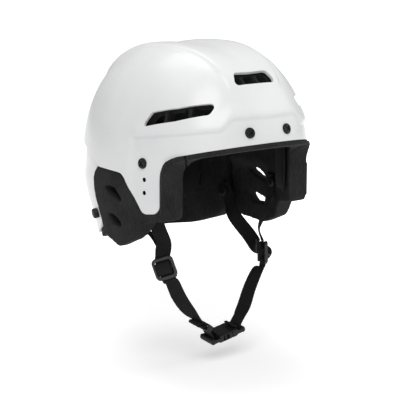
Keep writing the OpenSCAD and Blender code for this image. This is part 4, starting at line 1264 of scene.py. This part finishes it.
def webKeeper(name):
    # A plain moulded ring that holds the free tail against the strap
    k = keeperSettings
    blocks = []
    for grow, long in ((k["wall"], 1), (0, 3)):
        block = made(bpy.ops.mesh.primitive_cube_add, name, size=1)
        block.scale = (long * k["length"] * mm, 2 * (k["halfWide"] + grow) * mm,
                       2 * (k["halfHigh"] + grow) * mm)
        blocks.append(settle(block))
    ring = roundEdges(cut(*blocks), k["round"], 4, 50)
    ring.name = ring.data.name = name
    cosine, sine = math.cos(math.radians(k["turn"])), math.sin(math.radians(k["turn"]))
    along, outward = cosine * buckleX + sine * buckleZ, -sine * buckleX + cosine * buckleZ
    return smoothBy(placed(ring, inBuckle(socketBarX + k["at"][0], k["at"][1]), along, buckleY, outward), 40)


strapKeeper = webKeeper("strapKeeper")
print("hardware ready")


# Materials: a socket wrapper for shader maths, and one maker for every other node
class Signal:
    def __init__(self, tree, socket):
        self.tree, self.socket = tree, socket

    def maths(self, operation, other, flipped=False):
        node = self.tree.nodes.new("ShaderNodeMath")
        node.operation = operation
        pair = (other, self) if flipped else (self, other)
        for spot, item in zip(node.inputs, pair):
            plugIn(self.tree, item, spot)
        return Signal(self.tree, node.outputs[0])

    def __add__(self, other):
        return self.maths("ADD", other)

    def __radd__(self, other):
        return self.maths("ADD", other, True)

    def __sub__(self, other):
        return self.maths("SUBTRACT", other)

    def __rsub__(self, other):
        return self.maths("SUBTRACT", other, True)

    def __mul__(self, other):
        return self.maths("MULTIPLY", other)

    def __rmul__(self, other):
        return self.maths("MULTIPLY", other, True)


def plugIn(tree, item, spot):
    if isinstance(item, Signal):
        tree.links.new(item.socket, spot)
    else:
        spot.default_value = item


class Bench:
    # The nodes of one material, or of the world, and the shader that they feed
    def __init__(self, owner, shader):
        owner.use_nodes = True
        self.owner, self.tree = owner, owner.node_tree
        self.shader = self.tree.nodes[shader]

    def set(self, socket, value):
        plugIn(self.tree, value, self.shader.inputs[socket])

    def make(self, kind, settings, inputs, output=0):
        node = self.tree.nodes.new(kind)
        for name, value in settings.items():
            setattr(node, name, value)
        for name, value in inputs.items():
            plugIn(self.tree, value, node.inputs[name])
        return Signal(self.tree, node.outputs[output])

    def coords(self, which="Object"):
        return self.make("ShaderNodeTexCoord", {}, {}, which)

    def stretched(self, scale):
        return self.make("ShaderNodeMapping", {}, {"Vector": self.coords(), "Scale": scale})

    def noise(self, vector, scale, detail=3.0, roughness=0.55):
        sockets = {"Vector": vector, "Scale": scale, "Detail": detail, "Roughness": roughness}
        return self.make("ShaderNodeTexNoise", {}, sockets, "Fac")

    def cells(self, vector, scale, feature="F1"):
        sockets = {"Vector": vector, "Scale": scale}
        return self.make("ShaderNodeTexVoronoi", {"feature": feature}, sockets, "Distance")

    def spread(self, value, low, high, toLow=0.0, toHigh=1.0):
        sockets = {"Value": value, "From Min": low, "From Max": high, "To Min": toLow, "To Max": toHigh}
        return self.make("ShaderNodeMapRange", {"clamp": True}, sockets)

    def mixed(self, factor, a, b):
        return self.make("ShaderNodeMix", {"data_type": "RGBA"}, {0: factor, 6: a, 7: b}, 2)

    def bump(self, height, strength, distance):
        sockets = {"Height": height, "Strength": strength, "Distance": distance}
        self.set("Normal", self.make("ShaderNodeBump", {}, sockets, "Normal"))

    def seenBy(self, *rayKinds):
        # One where the surface is met by any of these rays, else zero
        total = self.make("ShaderNodeLightPath", {}, {}, "Is " + rayKinds[0] + " Ray")
        for kind in rayKinds[1:]:
            total = total + self.make("ShaderNodeLightPath", {}, {}, "Is " + kind + " Ray")
        return total


def materialBench(name, look):
    bench = Bench(bpy.data.materials.new(name), "Principled BSDF")
    bench.owner.diffuse_color = look["colour"]
    bench.set("Base Color", look["colour"])
    for socket, value in look["sockets"].items():
        bench.set(socket, value)
    return bench


def grey(v, tint=(1, 1, 1)):
    return v * tint[0], v * tint[1], v * tint[2], 1.0


shellLook = {"colour": grey(0.83, (0.99, 0.995, 1.0)),
             "sockets": {"Roughness": 0.3, "Coat Weight": 0.12, "Coat Roughness": 0.12, "IOR": 1.5}}


def shellMaterial():
    bench = materialBench("shellWhite", shellLook)
    here = bench.coords()
    drift = bench.noise(here, 14, 2)
    grain = bench.noise(here, 420, 4)
    scuff = bench.spread(bench.noise(bench.stretched((60, 60, 340)), 1.0, 5, 0.65), 0.62, 0.78)
    dim, bright = grey(0.805, (0.985, 0.99, 1.0)), grey(0.85, (0.995, 1.0, 1.0))
    base = bench.mixed(bench.spread(drift, 0.35, 0.65), dim, bright)
    bench.set("Base Color", bench.mixed(scuff * 0.12, base, grey(0.6)))
    bench.set("Roughness", 0.27 + bench.spread(grain, 0.3, 0.7) * 0.07 + scuff * 0.12)
    bench.bump(bench.noise(here, 190, 2) * 0.6 + grain * 0.4, 0.12, 0.0002)
    return bench.owner


foamLook = {"colour": grey(0.016), "sockets": {"Roughness": 0.86, "Specular IOR Level": 0.22}}


def foamMaterial():
    bench = materialBench("linerFoam", foamLook)
    here = bench.coords()
    streak = bench.noise(bench.stretched((1, 1, 0.16)), 900, 3, 0.6)
    fine = bench.noise(here, 1500, 3, 0.7)
    cells = bench.cells(here, 520.0)
    blotch = bench.noise(here, 40, 3)
    speck = bench.spread(fine, 0.66, 0.76)
    base = bench.mixed(bench.spread(blotch * 0.4 + streak * 0.6, 0.38, 0.62), grey(0.008), grey(0.026))
    bench.set("Base Color", bench.mixed(speck * 0.5, base, grey(0.06)))
    bench.set("Roughness", 0.8 + streak * 0.14)
    bench.bump(streak * 0.5 + fine * 0.35 - cells * 0.5, 0.35, 0.0003)
    return bench.owner


padLook = {
    "colour": grey(0.014),
    "sockets": {"Roughness": 0.92, "Specular IOR Level": 0.2, "Sheen Weight": 0.06, "Sheen Roughness": 0.4},
}


def padMaterial():
    bench = materialBench("padFabric", padLook)
    here = bench.coords()
    knitting = {"Vector": here, "Scale": 330.0, "Distortion": 0.6, "Detail": 1.0, "Detail Scale": 0.5}
    ribs = [
        bench.make("ShaderNodeTexWave", {"wave_type": "BANDS", "bands_direction": way, "wave_profile": "SIN"},
                   knitting, "Fac")
        for way in ("X", "Y", "Z")
    ]
    knit = ribs[0] * ribs[2] + ribs[1] * 0.5
    fuzz = bench.noise(here, 1800, 2, 0.6)
    worn = bench.spread(bench.noise(here, 30, 3), 0.42, 0.66)
    base = bench.mixed(worn, grey(0.009), grey(0.017))
    bench.set("Base Color", bench.mixed(bench.spread(knit, 0.3, 1.2) * 0.5, base, grey(0.035)))
    bench.set("Roughness", 0.86 + fuzz * 0.12)
    bench.bump(knit * 0.7 + fuzz * 0.3, 0.4, 0.0003)
    return bench.owner


webbingLook = {
    "colour": grey(0.014),
    "sockets": {"Roughness": 0.75, "Specular IOR Level": 0.16, "Sheen Weight": 0.02, "Sheen Roughness": 0.35},
}
weave = {"rib": 0.95, "pick": 1.25, "selvedge": 6.6, "hem": 0.5}


def webbingMaterial():
    bench = materialBench("strapWebbing", webbingLook)
    flat = bench.coords("UV")
    u, v = [bench.make("ShaderNodeSeparateXYZ", {}, {0: flat}, axis) for axis in ("X", "Y")]

    def sine(value):
        return bench.make("ShaderNodeMath", {"operation": "SINE"}, {0: value})

    def size(value):
        return bench.make("ShaderNodeMath", {"operation": "ABSOLUTE"}, {0: value})

    rib, pick = 2 * math.pi / (weave["rib"] * mm), 2 * math.pi / (weave["pick"] * mm)
    ribs = sine(u * rib)
    zigzag = size(sine(u * (rib / 4))) * (0.5 * weave["pick"] * mm)
    picks = sine((v + zigzag) * pick)
    threads = ribs * picks * 0.5 + 0.5
    edge = bench.spread(size(u), weave["selvedge"] * mm, (weave["selvedge"] + weave["hem"]) * mm)
    fuzz = bench.noise(bench.coords(), 1600, 2, 0.6)
    wear = bench.spread(bench.noise(bench.coords(), 55, 3), 0.45, 0.7)
    base = bench.mixed(threads, grey(0.004), grey(0.015))
    base = bench.mixed(wear * 0.3, base, grey(0.02))
    bench.set("Base Color", bench.mixed(edge * 0.5, base, grey(0.006)))
    bench.set("Roughness", 0.62 + threads * 0.14 + fuzz * 0.1)
    bench.bump(threads * 0.8 + fuzz * 0.15 + edge * 0.3, 0.6, 0.00035)
    return bench.owner


def mouldedMaterial(name, look, tone, gloss, pebble):
    # Moulded black plastic with a fine spark-eroded grain and faint handling marks
    bench = materialBench(name, look)
    here = bench.coords()
    grain = bench.cells(here, pebble, "SMOOTH_F1")
    rub = bench.spread(bench.noise(here, 160, 4, 0.65), 0.55, 0.75)
    bench.set("Base Color", bench.mixed(rub * 0.5, grey(tone), grey(tone * 1.9)))
    bench.set("Roughness", gloss + grain * 0.12 + rub * 0.12)
    bench.bump(grain, 0.25, 0.0002)
    return bench.owner


sliderLook = {"colour": grey(0.04), "sockets": {"Roughness": 0.4, "IOR": 1.45}}
buckleLook = {"colour": grey(0.014), "sockets": {"Roughness": 0.45, "IOR": 1.45, "Specular IOR Level": 0.35}}
screwLook = {"colour": grey(0.012), "sockets": {"Roughness": 0.42, "IOR": 1.45, "Specular IOR Level": 0.3}}
nutLook = {"colour": (0.56, 0.57, 0.59, 1.0), "sockets": {"Metallic": 1.0, "Roughness": 0.36}}


def nutMaterial():
    bench = materialBench("zincNut", nutLook)
    here = bench.coords()
    crystals = bench.cells(here, 900.0)
    cloud = bench.spread(bench.noise(here, 220, 3), 0.35, 0.65)
    bench.set("Base Color", bench.mixed(cloud, (0.50, 0.51, 0.53, 1), (0.62, 0.63, 0.64, 1)))
    bench.set("Roughness", 0.28 + crystals * 0.25)
    bench.bump(crystals, 0.1, 0.0001)
    return bench.owner


finishes = {
    "shell": shellMaterial(), "foam": foamMaterial(), "pad": padMaterial(), "webbing": webbingMaterial(),
    "nut": nutMaterial(),
    "slider": mouldedMaterial("sliderPlastic", sliderLook, 0.022, 0.4, 1500.0),
    "buckle": mouldedMaterial("bucklePlastic", buckleLook, 0.009, 0.42, 1300.0),
    "screw": mouldedMaterial("screwBlack", screwLook, 0.006, 0.4, 1900.0),
}
padFill = {"foam": 1.0, "pad": 0.8}


def finished(obj, slotName, node, body="helmet"):
    # Gives a piece its material and its body, and hides the CAD part that it stands for
    obj.data.materials.clear()
    obj.data.materials.append(finishes[slotName])
    if body:
        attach(obj, body)
    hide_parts(node)


for obj, slotName, node in (
        (mainShell, "shell", "main_shell"), (rearShell, "shell", "rear_shell"),
        (browFoam, "foam", "brow_liner"), (leftSideFoam, "foam", "left_side_liner"),
        (rightSideFoam, "foam", "right_side_liner"), (rearFoam, "foam", "rear_liner"),
        (crownFoam, "foam", "crown_liner"),
        (browPad, "pad", "brow_pad"), (leftTemplePad, "pad", "left_temple_pad"),
        (rightTemplePad, "pad", "right_temple_pad"), (leftSidePad, "pad", "left_side_pad"),
        (rightSidePad, "pad", "right_side_pad"), (rearPad, "pad", "rear_pad"), (crownPad, "pad", "crown_pad"),
        (frontScrews, "screw", "front_screws"), (sideScrews, "screw", "side_screws"),
        (frontNuts, "nut", "front_nuts"), (sideNuts, "nut", "side_nuts"),
        (rearCaps, "buckle", "rear_rivet_caps"), (rearPosts, "buckle", "rear_rivet_posts"),
        (frontPosts, "buckle", "front_rivet_posts"), (buckleSocket, "buckle", "buckle_socket"),
        (strapKeeper, "buckle", "strap_keeper")):
    finished(obj, slotName, node)
    slotName in padFill
finished(leftSlider, "slider", "left_slider", body="left_slider")
finished(rightSlider, "slider", "right_slider", body="right_slider")
finished(bucklePlug, "buckle", "buckle_plug", body="plug")
finished(frontProng, "buckle", "plug_front_prong", body="front_prong")
finished(rearProng, "buckle", "plug_rear_prong", body="rear_prong")
mainShell.data.materials.append(finishes["screw"])  # blackened inserts line the accessory holes
for face in mainShell.data.polygons:
    x, y, z = [v / mm for v in face.center]
    away = min(math.hypot(y - accessoryHoles["y"], z - h) for h in accessoryHoles["heights"])
    if abs(face.normal[0]) < accessoryHoles["insertTilt"] and away < accessoryHoles["insert"]:
        face.material_index = 1


def bends(obj, node, bodies, start, stop):
    # A strap on no body: it gets its webbing material, its CAD part is hidden and its placement goes into its
    # mesh
    finished(obj, "webbing", node, body=None)
    tuple(np.array(start) * mm)
    tuple(np.array(stop) * mm)
    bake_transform(obj)


def rowBefore(rows, distance):
    # The middle of the run at a distance before its end
    total = 0.0
    for i in range(len(rows) - 1, 0, -1):
        total += float(np.linalg.norm(rows[i][0] - rows[i - 1][0]))
        if total >= distance:
            return rows[i - 1][0]
    return rows[0][0]


# Places along each strap, measured from its slider or its end, that are passed to bends
bendSettings = {"far": 46, "near": 13, "rearLeft": (52, 16), "rearRight": (48, 14), "plugRow": 6 * parts}
for side, bands, lowerRows, middle, turned in (
        ("left", leftBands, leftLowerRows, leftMiddle, 1),
        ("right", rightBands, rightLowerRows, rightMiddle, acrossFlip)):
    node, slider, at = side + "_front_strap", side + "_slider", sliderSettings[side]
    upperBend = [onSlider(at, 0, bendSettings[k], underBar) * turned for k in ("far", "near")]
    bends(bands[0], node, ("helmet", slider), *upperBend)
    bends(bands[1], node, (slider, "helmet"), lowerRows[parts][0], lowerRows[middle][0])
bends(leftBands[2], "left_front_strap", ("helmet", "plug"), leftLowerRows[leftMiddle][0],
      leftLowerRows[bendSettings["plugRow"]][0])
finished(rightBands[2], "webbing", "right_front_strap")
finished(leftTail, "webbing", "left_front_strap", body="left_slider")
finished(rightTail, "webbing", "right_front_strap", body="right_slider")
finished(leftPatch, "webbing", "left_rear_strap", body="left_slider")
bends(leftRearStrap, "left_rear_strap", ("helmet", "left_slider"),
      *[rowBefore(leftRearRows, d) for d in bendSettings["rearLeft"]])
bends(rightRearStrap, "right_rear_strap", ("helmet", "right_slider"),
      *[rowBefore(rightRearRows, d) for d in bendSettings["rearRight"]])
print("finishes and rides ready")


# Studio: camera at the photograph's angle, pale floor, soft lamps
studio = {
    "right": (0.788, -0.616, 0.0), "back": (-0.604, -0.774, 0.19), "distance": 1.5, "lens": 129.2,
    "shift": (0.0245, -0.017), "drop": 0.02, "floorSize": 14, "floorGlow": 0.4, "glowNear": 0.3,
    "glowFar": 0.8, "fill": 0.41, "aim": (0, 0, 0.02),
}
right, back = Vector(studio["right"]).normalized(), Vector(studio["back"]).normalized()
cameraData = bpy.data.cameras.new("productCamera")
cameraData.lens, cameraData.sensor_width = studio["lens"], 36
cameraData.shift_x, cameraData.shift_y = studio["shift"]
camera = bpy.data.objects.new("productCamera", cameraData)
bpy.context.scene.collection.objects.link(camera)
camera.matrix_world = axesMatrix(right, back.cross(right), back, back * studio["distance"])
bpy.context.scene.camera = camera

lowest = min(o.bound_box[i][2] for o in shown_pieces() if o.type == "MESH" for i in range(8))
floor = settle(made(bpy.ops.mesh.primitive_plane_add, "studioFloor", size=studio["floorSize"],
                    location=(0, 0, lowest - studio["drop"])))
paperLook = {"colour": grey(0.8), "sockets": {"Roughness": 0.95, "Specular IOR Level": 0.1}}


def paperMaterial():
    bench = materialBench("studioPaper", paperLook)
    seen = bench.seenBy("Camera", "Glossy", "Transmission")
    reach = bench.make("ShaderNodeVectorMath", {"operation": "LENGTH"}, {0: bench.coords()}, "Value")
    level = bench.spread(reach, studio["glowNear"], studio["glowFar"], studio["floorGlow"], 1.0)
    glow = bench.make("ShaderNodeEmission", {}, {"Color": (1, 1, 1, 1), "Strength": seen * level})
    paper = Signal(bench.tree, bench.shader.outputs[0])
    total = bench.make("ShaderNodeAddShader", {}, {0: paper, 1: glow})
    plugIn(bench.tree, total, bench.tree.nodes["Material Output"].inputs["Surface"])
    return bench.owner


floor.data.materials.append(paperMaterial())
floor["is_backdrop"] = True

worldBench = Bench(bpy.data.worlds.new("studioWorld"), "Background")
bpy.context.scene.world = worldBench.owner
backdrop = worldBench.seenBy("Camera", "Transmission")  # the camera sees it at full white
worldBench.set("Color", (1, 1, 1, 1))
worldBench.set("Strength", studio["fill"] + backdrop * (1 - studio["fill"]))

lamps = [
    {"name": "keyLamp", "at": (-1.1, -1.3, 1.7), "size": 1.5, "power": 26},
    {"name": "fillLamp", "at": (1.7, -0.9, 0.8), "size": 1.6, "power": 8},
    {"name": "topLamp", "at": (0.2, 0.7, 2.1), "size": 1.6, "power": 17},
]
for lamp in lamps:
    lightData = bpy.data.lights.new(lamp["name"], "AREA")
    lightData.size, lightData.energy = lamp["size"], lamp["power"]
    light = bpy.data.objects.new(lamp["name"], lightData)
    bpy.context.scene.collection.objects.link(light)
    light.location = lamp["at"]
    light.rotation_euler = (Vector(studio["aim"]) - light.location).to_track_quat("-Z", "Y").to_euler()
bpy.context.scene.view_settings.view_transform = "Standard"

print("studio ready")
